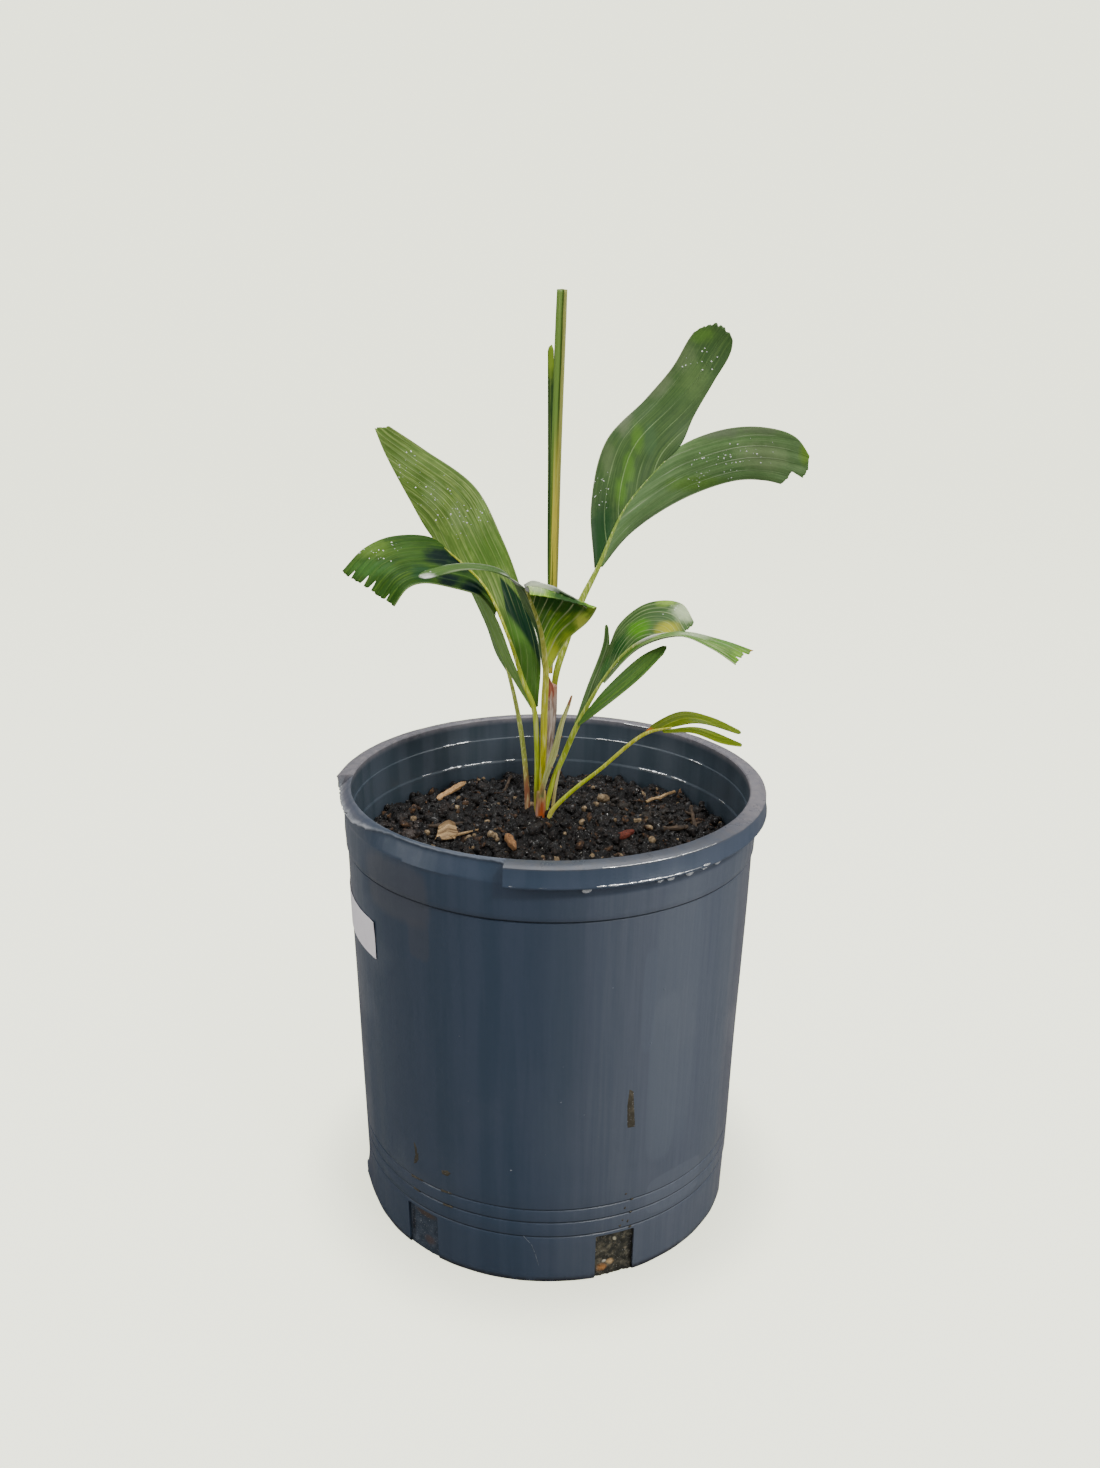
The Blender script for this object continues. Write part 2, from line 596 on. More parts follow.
def wood_material(name, dark, light):
    """Dry bark and twigs: fine long grain, paler on the raised fibres."""
    made, shade, sockets = new_material(name, Specular_IOR_Level=0.35)
    uv = shade.node("ShaderNodeUVMap", uv_map="UVMap").outputs["UV"]
    u, v, _ = shade.split(uv)
    grain = shade.noise(shade.join(shade.math("MULTIPLY", u, 26.0), shade.math("MULTIPLY", v, 3.0)),
                        1.0, 4.0, 0.65)
    tone = shade.noise(shade.place(), 320.0, 4.0)
    body = shade.mix(shade.ramp(grain, 0.35, 0.65), dark, light)
    body = shade.mix(shade.ramp(tone, 0.55, 0.75, 0.0, 0.7), body, dark)
    shade.feed(sockets["Base Color"], body)
    shade.feed(sockets["Roughness"], shade.ramp(tone, 0.3, 0.7, 0.55, 0.85))
    shade.feed(sockets["Normal"], shade.bump(grain, 0.0005, 0.7))
    return made


def sheath_material(name, dark, light, foot, tip, patches=()):
    """The dry fibrous sheaths round the stem, with long streaks and a coloured foot and tip."""
    made, shade, sockets = new_material(name, Specular_IOR_Level=0.35)
    along = shade.attribute("along")
    x, y, z = shade.split(shade.place())
    fibre = shade.noise(shade.join(shade.math("MULTIPLY", x, 1300.0), shade.math("MULTIPLY", y, 1300.0),
                                   shade.math("MULTIPLY", z, 60.0)), 1.0, 4.0, 0.65)
    body = shade.mix(shade.ramp(fibre, 0.38, 0.64), dark, light)
    body = shade.mix(shade.ramp(along, 0.0, 0.22, 0.85, 0.0), body, foot)
    body = shade.mix(shade.ramp(along, 0.82, 0.98, 0.0, 0.9), body, tip)
    body = apply_patches(shade, body, patches)
    shade.feed(sockets["Base Color"], body)
    shade.feed(sockets["Roughness"], shade.ramp(fibre, 0.3, 0.7, 0.42, 0.66))
    shade.feed(sockets["Normal"], shade.bump(fibre, 0.0005, 0.7))
    return made


def paper_material():
    """A blank sticker, a little pink, with faint fibres and a soiled lower edge."""
    made, shade, sockets = new_material("sticker_paper", Specular_IOR_Level=0.5)
    place = shade.place()
    tone = shade.noise(place, 90.0, 4.0)
    grain = shade.noise(place, 1500.0, 3.0)
    body = shade.mix(shade.ramp(tone, 0.4, 0.75, 0.0, 0.5), hue(255, 250, 254), hue(246, 236, 244))
    shade.feed(sockets["Base Color"], body)
    shade.feed(sockets["Roughness"], shade.ramp(grain, 0.3, 0.7, 0.42, 0.6))
    shade.feed(sockets["Normal"], shade.bump(grain, 0.0001, 0.5))
    return made


def water_material(name, tint, clear, shine):
    """Beads of water: how clear they are and how strongly they mirror the sky."""
    made, shade, sockets = new_material(name, Base_Color=tint, IOR=1.33, Metallic=shine,
                                        Transmission_Weight=clear)
    shade.feed(sockets["Roughness"], shade.ramp(shade.noise(shade.place(), 700.0), 0.3, 0.7, 0.03,
                                                0.12))
    return made


# Leaves

def end_trim(share, width, seed, teeth, rounding, steps, slits):
    """How much of its length a blade lacks at a share of its width: its torn, notched end."""
    ragged = wobble(share * width * 0.45, seed * 7.3, 0.2)
    fine = wobble(share * width * 1.3, seed * 3.1, 5.7)
    trim = teeth * (0.6 * ragged + 0.5 * fine + 0.35)
    trim += rounding * abs(2 * share - 1) ** 2.6
    for place, amount in steps:
        trim += amount * min(max((share - place) / 0.02, 0), 1)
    for place, amount, half_width in slits:
        trim += amount * max(1 - abs(share - place) / half_width, 0)
    return min(max(trim, 0), 0.5)


def leaf_blade(name, inner, outer, middle=None, arch=0.0, rows=96, columns=40, fold=0.15,
               fold_pitch=6.5, ripple=0.0, teeth=0.012, rounding=0.02, steps=(), slits=(), seed=1,
               thickness=0.4, wet=()):
    """A leaflet between two edges: arched across, folded along its veins, torn at its end.
    Each wet place is a centre and a radius in mm where drops lie."""
    near = smooth_path(inner, 400)
    far = smooth_path(outer, 400)
    centre = smooth_path(middle, 400) if middle else (near + far) / 2
    t = np.linspace(0, 1, columns)
    v = np.linspace(0, 1, rows)
    end_width = np.linalg.norm(far[-1] - near[-1])
    trim = np.array([end_trim(share, end_width, seed, teeth, rounding, steps, slits) for share in t])
    along = v[:, None] * (1 - trim[None, :] * v[:, None] ** 5)
    sample = np.linspace(0, 1, 400)

    def at(line, where):
        return np.stack([np.interp(where, sample, line[:, axis]) for axis in range(3)], axis=-1)

    a = at(near, along)
    b = at(far, along)
    c = at(centre, along)
    tt = t[None, :, None]
    points = a * (1 - tt) * (1 - 2 * tt) + c * 4 * tt * (1 - tt) + b * tt * (2 * tt - 1)
    width = np.linalg.norm(b - a, axis=-1)
    down = np.gradient(points, axis=0)
    over = np.gradient(points, axis=1)
    normal = np.cross(down, over)
    normal /= np.maximum(np.linalg.norm(normal, axis=-1, keepdims=True), 1e-9)
    grown = np.sin(math.pi * (0.1 + 0.9 * np.clip(along, 0, 1)))
    depth = (1 - t)[None, :] * width
    crown = arch * 4 * t * (1 - t) * grown
    reach = np.cumsum(np.linalg.norm(down, axis=-1), axis=0)
    swell = np.array([[wobble(s / 34, d / 14, seed * 2.7) for s, d in zip(row_s, row_d)]
                      for row_s, row_d in zip(reach, depth)])
    drift = np.array([[wobble(s / 60, d / 30, seed * 1.9) for s, d in zip(row_s, row_d)]
                      for row_s, row_d in zip(reach, depth)])
    phase = (depth + drift * 3.0) / fold_pitch
    folds = (np.abs((phase % 1) - 0.5) * 4 - 1) * fold
    soften = np.clip(width / 9, 0, 1) * np.clip(t * 8, 0, 1)
    points = points + normal * ((crown + folds * soften + swell * ripple * soften)[..., None])
    grid = points.reshape(-1, 3)
    faces = []
    for row in range(rows - 1):
        for column in range(columns - 1):
            first = row * columns + column
            faces.append((first, first + 1, first + columns + 1, first + columns))
    made = add_mesh(name, (grid, faces))
    set_uv(made.data, np.stack(((depth / 50).ravel(), (reach / 250).ravel()), axis=1))
    set_attribute(made.data, "along", along.ravel())
    set_attribute(made.data, "across", np.broadcast_to(t[None, :], along.shape).ravel())
    set_attribute(made.data, "depth", depth.ravel())
    if wet:
        away = [np.linalg.norm(grid - np.array(place), axis=1) / radius for place, radius in wet]
        set_attribute(made.data, "wet", np.clip(1.3 - np.min(away, axis=0), 0, 1))
    made.data.shade_smooth()
    solid = made.modifiers.new("thickness", "SOLIDIFY")
    solid.thickness = thickness * MM
    solid.offset = 0
    return freeze(made)


def leaf_stalk(name, path, radii, sides=14, step=1.6, flat=1.0, channel=0.0,
               face=(0.1, -1.0, 0.2), cap=0.8):
    """A tapering stalk with rounded ends that follows its centre line. Flat is its thickness as
    a share of its width, seen from the side that it faces."""
    path = np.array(path, dtype=float)
    corner = np.concatenate(([0], np.cumsum(np.linalg.norm(np.diff(path, axis=0), axis=1))))
    rings = max(12, round(corner[-1] / step))
    line = smooth_path(path, rings)
    radius = np.interp(np.linspace(0, corner[-1], rings), corner, radii)
    ahead = np.gradient(line, axis=0)
    ahead /= np.linalg.norm(ahead, axis=1, keepdims=True)
    side = np.cross(ahead, face)
    side /= np.linalg.norm(side, axis=1, keepdims=True)
    front = np.cross(side, ahead)
    turns = np.linspace(0, math.tau, sides, endpoint=False)
    points = []
    share = []
    for ring in range(rings):
        for turn in turns:
            dent = 1 - channel * max(math.sin(turn), 0) ** 8
            offset = (side[ring] * math.cos(turn) + front[ring] * math.sin(turn) * flat * dent)
            points.append(line[ring] + offset * radius[ring])
            share.append(ring / (rings - 1))
    faces = []
    for ring in range(rings - 1):
        for index in range(sides):
            a = ring * sides + index
            b = ring * sides + (index + 1) % sides
            faces.append((b, a, a + sides, b + sides))
    points += [line[0] - ahead[0] * radius[0] * 0.3, line[-1] + ahead[-1] * radius[-1] * cap]
    share += [0, 1]
    last = (rings - 1) * sides
    for index in range(sides):
        following = (index + 1) % sides
        faces.append((index, following, len(points) - 2))
        faces.append((last + following, last + index, len(points) - 1))
    made = add_mesh(name, (points, faces))
    set_attribute(made.data, "along", share)
    set_uv(made.data, [(index % sides / sides, value) for index, value in enumerate(share)])
    bm = bmesh.new()
    bm.from_mesh(made.data)
    bmesh.ops.recalc_face_normals(bm, faces=bm.faces)
    bm.to_mesh(made.data)
    bm.free()
    made.data.shade_smooth()
    return made


# Stalk routes, from the soil to the end of each rachis, and the radius at each point

STALKS = {
    "tall": (((0.9, 8.3, 279), (2.5, 8.6, 291.5), (6, 12, 303), (14, 18, 325), (23.5, 23, 344),
              (36.5, 33, 372), (54.5, 42, 392.5), (65, 46, 402.5)),
             (1.4, 1.7, 1.85, 1.85, 1.2, 0.5, 0.35, 0.2)),
    "left": (((-7.4, 5.6, 215), (-7.4, 5.6, 227), (-7, 5, 238), (-7.3, 4, 254), (-9, 4, 273.5),
              (-14.5, 6, 287), (-22.5, 11, 310), (-35, 19, 334), (-62, 32, 356)),
             (1.2, 1.3, 1.45, 1.45, 1.35, 1.2, 0.85, 0.7, 0.35)),
    "front": (((-4.8, 5.6, 215), (-4.9, 5.0, 227), (-4, 3.2, 244), (-3.5, 1, 277.5), (-3, -2, 296),
               (-5.5, -9, 317.5), (-10.5, -18, 335), (-13, -24, 342.5)),
              (1.3, 1.4, 1.6, 1.8, 1.6, 1.1, 0.8, 0.5)),
    "arching": (((-2.8, 5.6, 200), (-2.8, 5.6, 213), (-0.6, 5.6, 225), (2.4, 5.6, 236),
                 (6.4, 4, 246.5), (13, -1, 265), (25.5, -5, 291), (37.5, -9, 308), (49, -13, 316.5),
                 (63, -16, 320)), (1.3, 1.3, 1.35, 1.45, 1.5, 1.5, 0.7, 0.8, 0.85, 0.5)),
    "low": (((-0.5, 2, 200), (-0.5, 2, 211), (0.3, 1.9, 216), (10, 0, 228), (25.5, -4, 243),
             (48, -10, 265), (61, -13, 269.5)), (1.5, 1.5, 1.35, 1.15, 1.0, 1.0, 0.4)),
    "back": (((-12, 8, 200), (-12, 8, 213), (-13, 10, 234.5), (-16.5, 20, 259), (-23, 32, 284.5),
              (-32.5, 52, 308), (-45, 66, 326.5)), (1.5, 1.5, 1.4, 1.25, 1.0, 0.5, 0.3)),
}


def rib(name, first):
    """The rachis part of a stalk's route, from its given point to the fork."""
    return STALKS[name][0][first:]


def make_frond(name, node, slot, blades, stalk):
    """Declare a frond's finished blades and stalk, and strew drops on its wet places."""
    for blade, leaf in blades:
        piece(blade, leaf, [node])
        if "wet" in blade.data.attributes:
            scatter(f"{blade.name}_drops", blade, STREWN["drops"], slot, MATERIALS["dew"],
                    Mask="wet", Density=110000.0, Smallest=0.0003, Largest=0.0010, Flatness=0.5,
                    Roughness=0.12, Tumble=0.0, Seed=4)
    stem = leaf_stalk(f"{name}_stalk", *STALKS[name], flat=0.92, channel=0.2)
    piece(stem, stalk, [node])


def tall_frond():
    left = leaf_blade("tall_left", (*rib("tall", 4), (72, 52, 417), (82, 57, 434), (90.5, 60.5, 449),
                                    (91, 61, 461.5)),
                      ((21.5, 24, 343), (19.5, 38, 373), (27, 51, 404), (47.5, 59, 425),
                       (61, 62, 441), (69, 64, 455), (76, 64, 464)), arch=2.5, seed=3,
                      teeth=0.016, rounding=0.045, columns=56, fold=0.12, fold_pitch=7.5,
                      ripple=0.6,
                      wet=(((23, 42, 385), 7), ((24, 37, 376), 6), ((74, 60, 445), 9)))
    left_leaf = leaf_material(
        "tall_left_leaf", hue(74, 100, 50), hue(52, 80, 38), hue(140, 166, 108), hue(104, 112, 84),
        pitch=7.5, vein_strength=0.6, veins_until=0.75, seed=1.0, stripe=0.3, patches=(
            ((49.3, 46.2, 405), (5, 7, 17), hue(66, 96, 60), 0.5),
            ((34.5, 36, 380), (4.2, 9, 13), hue(84, 128, 30), 0.5),
            ((38.5, 41, 392), (4.4, 9, 14), hue(88, 132, 34), 0.55),
            ((43, 47, 406), (4.6, 9, 13), hue(88, 130, 34), 0.5),
            ((28, 45, 398), (5, 9, 18), hue(96, 112, 74), 0.5),
            ((36, 54, 415), (6, 8, 18), hue(104, 112, 86), 0.55),
            ((54, 60, 432), (10, 6, 14), hue(104, 114, 84), 0.5),
            ((66, 62, 446), (10, 6, 12), hue(98, 112, 76), 0.45),
            ((75, 61, 457), (10, 6, 6), hue(84, 122, 38), 0.5),
            ((72, 55, 436), (12, 9, 16), hue(94, 120, 66), 0.5),
            ((24, 28, 358), (12, 15, 32), hue(28, 68, 30), 0.9)))
    right = leaf_blade("tall_right", (*rib("tall", 4), (86, 46, 411), (106, 42, 413),
                                      (122, 36, 409), (131, 29, 397)),
                       ((25.5, 25, 343.5), (41, 39, 359), (66, 49, 374), (94.5, 49, 384.5),
                        (109.5, 44, 385.5), (124, 33, 383)), arch=-2.5, seed=5, teeth=0.01,
                       rounding=0.02, steps=((0.6, 0.055),), columns=56, fold=0.15,
                       fold_pitch=6.0, ripple=0.6,
                       wet=(((78, 46, 390), 9), ((92, 46, 394), 10), ((106, 43, 399), 9)))
    right_leaf = leaf_material(
        "tall_right_leaf", hue(110, 138, 86), hue(84, 116, 66), hue(168, 186, 148),
        hue(110, 118, 92), pitch=6.0, vein_strength=0.75, veins_until=0.95, seed=1.6,
        stripe=0.4, patches=(
            ((80, 45, 410), (24, 8, 5), hue(112, 118, 100), 0.6),
            ((105, 42, 412), (18, 8, 4), hue(112, 120, 96), 0.5),
            ((108, 42, 398), (24, 10, 11), hue(132, 152, 106), 0.7),
            ((75, 46, 383), (30, 9, 6), hue(84, 120, 38), 0.7),
            ((127, 31, 402), (5, 6, 9), hue(104, 140, 30), 0.8)))
    stalk = stalk_material("tall_stalk_skin", hue(150, 150, 50), hue(160, 176, 54),
                           hue(116, 148, 66), foot_until=0.02)
    make_frond("tall", "frond_tall", "dark_leaf", [(left, left_leaf), (right, right_leaf)], stalk)


def left_frond():
    upper = leaf_blade("left_upper", (*rib("left", 4), (-74, 36, 375), (-86.5, 39, 398.5),
                                      (-91.5, 40, 411)),
                       ((-7, 6, 274), (-6, 15, 299), (-15.5, 26, 328.5), (-26.5, 37, 355),
                        (-40.5, 44, 380.5), (-67, 46, 399.5), (-84.5, 43, 411.5)), arch=-2,
                       rows=130, columns=64, fold=0.08, fold_pitch=2.8, seed=7, ripple=0.9,
                       teeth=0.008, rounding=0.0,
                       wet=(((-76, 40, 392), 9), ((-62, 38, 378), 10), ((-50, 36, 367), 9),
                            ((-48, 33, 361), 9), ((-37, 40, 370), 6)))
    upper_leaf = leaf_material(
        "left_upper_leaf", hue(124, 146, 74), hue(80, 108, 42), hue(164, 178, 118),
        hue(136, 150, 108), pitch=2.8, vein_strength=0.3, stripe=0.9, seed=2.0, gloss=0.1, coat=0.02,
        base_zone=(-0.66, 2.74, 0.54, hue(76, 116, 40), hue(4, 42, 24)), patches=(
            ((-76, 40, 393), (9, 8, 9), hue(112, 136, 74), 0.35),
            ((-62, 38, 378), (8, 8, 12), hue(128, 150, 96), 0.35),
            ((-50, 36, 366), (6, 8, 13), hue(128, 150, 96), 0.35),
            ((-37, 40, 370), (4, 8, 13), hue(108, 138, 70), 0.4),
            ((-33, 30, 350), (14, 13, 20), hue(62, 98, 14), 0.75)))
    lower = leaf_blade("left_lower", ((-28.5, 15, 322), (-35, 19, 334), (-49.5, 26, 346),
                                      (-62, 32, 356), (-81.5, 26, 358), (-95, 14, 354),
                                      (-105.5, 3, 344)),
                       ((-29, 16, 319.5), (-37, 18, 328.5), (-51, 11, 335), (-64.5, 3, 338.5),
                        (-72, -4, 337), (-78, -9, 329.5)), arch=2, seed=9, columns=110,
                       fold=0.25, fold_pitch=4.0, teeth=0.012, rounding=0.0, ripple=0.9,
                       slits=((0.16, 0.055, 0.022), (0.38, 0.07, 0.03), (0.52, 0.075, 0.028),
                              (0.82, 0.075, 0.014)),
                       wet=(((-90, 12, 352), 8), ((-80, 18, 354), 6)))
    lower_leaf = leaf_material(
        "left_lower_leaf", hue(66, 96, 26), hue(36, 68, 18), hue(96, 124, 50),
        hue(136, 156, 100), pitch=4.0, vein_strength=0.3, stripe=0.7, seed=2.4, gloss=0.08,
        coat=0.0, patches=(
            ((-92, 14, 354), (16, 14, 7), hue(92, 122, 40), 0.6),
            ((-90, 4, 346), (16, 10, 6), hue(64, 108, 46), 0.5),
            ((-72, 18, 352), (12, 12, 8), hue(58, 90, 32), 0.6),
            ((-57.6, 22, 348), (13, 11, 8), hue(3, 28, 22), 1.0),
            ((-47, 24, 345), (10, 9, 8), hue(3, 28, 22), 1.0),
            ((-66, 8, 342), (8, 9, 9), hue(24, 62, 30), 0.8),
            ((-52, 12, 338.5), (12, 7, 5), hue(4, 28, 24), 1.0),
            ((-42, 17, 333), (11, 8, 6), hue(4, 28, 24), 1.0)))
    strip = leaf_blade("left_strip", ((-9, 4, 274), (-20, 9, 297), (-27.5, 16, 315),
                                      (-41, 23, 339)),
                       ((-10.5, 6, 273), (-24.5, 20, 292.5), (-31.5, 29, 306), (-42, 34, 331)),
                       rows=60, columns=16, teeth=0, seed=11)
    strip_leaf = leaf_material(
        "left_strip_leaf", hue(140, 178, 84), hue(104, 148, 60), hue(160, 180, 116),
        hue(150, 168, 110), pitch=3.0, seed=2.8)
    stalk = stalk_material("left_stalk_skin", hue(160, 140, 66), hue(186, 204, 56),
                           hue(170, 178, 44), foot_until=0.04)
    make_frond("left", "frond_left", "leaf",
               [(upper, upper_leaf), (lower, lower_leaf), (strip, strip_leaf)], stalk)


def front_frond():
    right = leaf_blade("front_right", (*rib("front", 4), (-11.5, -32, 345.5), (-10.5, -42, 344)),
                       ((-0.5, -2.5, 297), (7, -5, 311.5), (17.5, -12, 323.5), (21.5, -22, 333),
                        (19.5, -31, 335)),
                       ((-1.5, -2, 297), (0.5, -4, 313.5), (2.5, -11, 331.5), (2.5, -17, 340),
                        (4.5, -37, 340.5)), fold=0.12, fold_pitch=4.2, columns=56, seed=13,
                       teeth=0.0, rounding=0.0, ripple=0.3)
    right_leaf = leaf_material(
        "front_fan_leaf", hue(188, 220, 76), hue(100, 150, 40), hue(220, 228, 170),
        hue(196, 210, 110), pitch=4.2, vein_strength=0.8, vein_width=0.6, stripe=0.8, seed=3.0,
        veins_until=0.95, patches=(
            ((-5, -13, 335), (13, 11, 13), hue(30, 80, 26), 0.9),
            ((6, -12, 332), (13, 11, 10), hue(34, 84, 26), 0.85),
            ((14, -14, 331.5), (8, 8, 5), hue(44, 92, 30), 0.8),
            ((8, -32, 340), (19, 13, 9), hue(36, 70, 26), 1.0),
            ((-8, -32, 345), (8, 11, 4), hue(168, 176, 150), 0.6),
            ((-5, -8, 326), (6, 9, 14), hue(50, 96, 34), 0.7),
            ((16, -11, 322), (7, 9, 9), hue(236, 246, 100), 0.85),
            ((20, -18, 331), (4, 7, 5), hue(150, 180, 60), 0.7),
            ((1, -3.2, 304), (5, 5, 12), hue(200, 214, 60), 0.9),
            ((8, -5, 313), (6, 6, 7), hue(186, 208, 50), 0.7)))
    left = leaf_blade("front_left", (*rib("front", 4), (-26.5, -38, 353.5), (-41.5, -45, 356),
                                     (-62, -45, 349.5)),
                      ((-4.5, -1, 296.5), (-8, 0, 315.5), (-14, -4, 329), (-22.5, -12, 347.5),
                       (-39.5, -25, 355), (-64, -31, 353)), arch=1, seed=15, fold=0.1,
                      rounding=0.12,
                      wet=(((-60, -34, 353), 5),))
    left_leaf = leaf_material(
        "front_arch_leaf", hue(80, 108, 50), hue(54, 86, 34), hue(170, 184, 146),
        hue(196, 204, 184), pitch=3.0, vein_strength=0.5, seed=3.4, patches=(
            ((-60, -44, 352), (7, 9, 4.5), hue(226, 230, 222), 0.9),
            ((-50, -34, 352), (9, 8, 4), hue(86, 118, 50), 0.6),
            ((-20, -26, 347), (13, 12, 5), hue(206, 210, 202), 0.85),
            ((-40, -44, 356), (18, 6, 4), hue(150, 164, 128), 0.6),
            ((-8, -5, 318), (7, 9, 18), hue(46, 84, 34), 0.9)))
    fold = leaf_blade("front_fold", ((-12.6, -24, 341.5), (-8.4, -22.5, 339.7), (-3.6, -22, 339),
                                     (1.2, -22, 338), (6.1, -22, 336.6), (10.9, -22, 335.1),
                                     (16, -23, 333.3)),
                      ((-13.8, -28, 345.6), (-9.8, -28, 347.6), (-3.6, -28, 346.1),
                       (1.1, -28, 344.7), (5.9, -28, 342), (10.7, -28, 339.4), (16.6, -26, 334)),
                      arch=1.6, columns=20, rows=60, seed=14, teeth=0.0, rounding=0.0, fold=0.05)
    fold_leaf = leaf_material(
        "front_fold_leaf", hue(54, 88, 36), hue(34, 66, 24), hue(150, 168, 130),
        hue(206, 212, 196), pitch=3.5, vein_strength=0.2, seed=3.7, rough=0.22, patches=(
            ((-7, -26, 344), (13, 9, 8), hue(236, 236, 234), 1.0),
            ((2, -28, 345.5), (12, 5, 1.6), hue(206, 212, 190), 0.7)))
    stalk = stalk_material("front_stalk_skin", hue(176, 160, 60), hue(202, 198, 40),
                           hue(188, 192, 90), foot_until=0.04)
    make_frond("front", "frond_front", "pale_leaf",
               [(right, right_leaf), (left, left_leaf), (fold, fold_leaf)], stalk)


def arching_frond():
    upper = leaf_blade("arching_upper", ((16, -2, 272), (25.5, -5, 291), (37.5, -9, 308),
                                         (49, -13, 316.5), (65, -16, 320)),
                       ((16.5, -0.5, 272), (29, 6, 306), (34.5, 10, 317.5), (48.5, 11, 328),
                        (64.5, 2, 330), (71, -8, 322)), arch=1.2, seed=17, teeth=0.01,
                       rounding=0.01, columns=48, fold=0.2, fold_pitch=3.4, ripple=0.5,
                       wet=(((62, -2, 326), 6),))
    upper_leaf = leaf_material(
        "arching_upper_leaf", hue(84, 110, 58), hue(54, 86, 36), hue(176, 194, 136),
        hue(168, 182, 140), pitch=3.0, vein_strength=0.45, stripe=0.8, seed=4.0, patches=(
            ((66, -3, 327), (9, 10, 8), hue(176, 192, 152), 0.85),
            ((56, 5, 331), (10, 8, 4), hue(146, 182, 60), 0.8),
            ((44, -3, 318), (10, 10, 7), hue(76, 134, 8), 0.95),
            ((34, -3, 308), (6, 8, 10), hue(22, 74, 18), 0.95),
            ((27, -3, 298), (5, 6, 10), hue(40, 90, 30), 0.8),
            ((57.5, -10.5, 320), (9, 8, 5.2), hue(150, 150, 0), 1.0)))
    right = leaf_blade("arching_right", ((25.5, -5, 291), (43, -11, 312.5), (62.5, -17, 320.5),
                                         (82.5, -20, 317.5), (99, -20, 312)),
                       ((26.5, -6.5, 290.5), (43.5, -17, 312.5), (62, -27, 321),
                        (77, -30, 315.5), (90, -29, 306.5)), arch=1, seed=19, teeth=0.02,
                       rounding=0.0, columns=48, fold=0.25, fold_pitch=3.0,
                       steps=((0.3, 0.02), (0.62, -0.01)),
                       slits=((0.3, 0.04, 0.05), (0.64, 0.035, 0.05)))
    right_leaf = leaf_material(
        "arching_right_leaf", hue(132, 158, 88), hue(76, 116, 40), hue(180, 196, 150),
        hue(176, 190, 150), pitch=2.2, vein_strength=0.4, stripe=1.0, seed=4.3, patches=(
            ((70, -19, 319), (12, 6, 3.5), hue(184, 196, 168), 0.6),
            ((92, -24, 310), (9, 9, 6), hue(108, 158, 30), 0.7),
            ((98.5, -20, 311.5), (2.5, 3, 2.5), hue(176, 120, 60), 0.9),
            ((84, -21, 316), (10, 5, 3), hue(92, 140, 60), 0.7),
            ((30, -8, 296), (8, 7, 9), hue(104, 124, 84), 0.7)))
    lower = leaf_blade("arching_lower", ((14, -2, 268.5), (28.5, -8, 289.5), (45.5, -13, 307.5),
                                         (56.5, -15, 313.5)),
                       ((14, -3.5, 266.5), (25.5, -12, 278.5), (43.5, -18, 296.5),
                        (56.5, -18, 311)), seed=21, teeth=0.01, rounding=0.03, columns=30,
                       fold=0.15, fold_pitch=3.0)
    lower_leaf = leaf_material("arching_lower_leaf", hue(92, 132, 50), hue(62, 104, 36),
                               hue(124, 158, 64), hue(112, 146, 60), pitch=2.0,
                               vein_strength=0.4, seed=4.6)
    thin = leaf_blade("arching_thin", ((13.5, -1, 266), (24.5, 1, 286.5), (29, 4, 306),
                                       (28.5, 6, 317)),
                      ((12, 0.5, 266.5), (18.5, 6, 285), (26, 7, 307), (27, 7, 318)), seed=23,
                      teeth=0, columns=16)
    thin_leaf = leaf_material("arching_thin_leaf", hue(112, 144, 80), hue(72, 108, 52),
                              hue(160, 176, 140), hue(130, 150, 110), pitch=2.4, seed=4.8)
    strand = leaf_blade("arching_strand", ((1.6, 5.5, 208), (2.6, 5.2, 222.5), (4.6, 5.0, 236.4),
                                           (7.0, 4.0, 246), (9.5, 2.5, 254)),
                        ((0.0, 5.0, 208), (1.0, 5.0, 222.5), (3.2, 4.6, 236.4), (5.8, 3.6, 246),
                         (9.0, 2.2, 254)), rows=50, columns=10, teeth=0, rounding=0, fold=0.3,
                        fold_pitch=0.8, thickness=0.7, seed=24)
    strand_leaf = leaf_material("arching_strand_skin", hue(206, 200, 140), hue(170, 150, 90),
                                hue(220, 214, 170), hue(190, 170, 110), pitch=1.0, seed=4.9)
    stalk = stalk_material("arching_stalk_skin", hue(176, 160, 70), hue(192, 210, 62),
                           hue(166, 190, 84), foot_until=0.04, patches=(
                               ((52, -13, 316), (18, 7, 8), hue(206, 208, 196), 0.9),))
    make_frond("arching", "frond_arching", "leaf",
               [(upper, upper_leaf), (right, right_leaf), (lower, lower_leaf), (thin, thin_leaf),
                (strand, strand_leaf)], stalk)


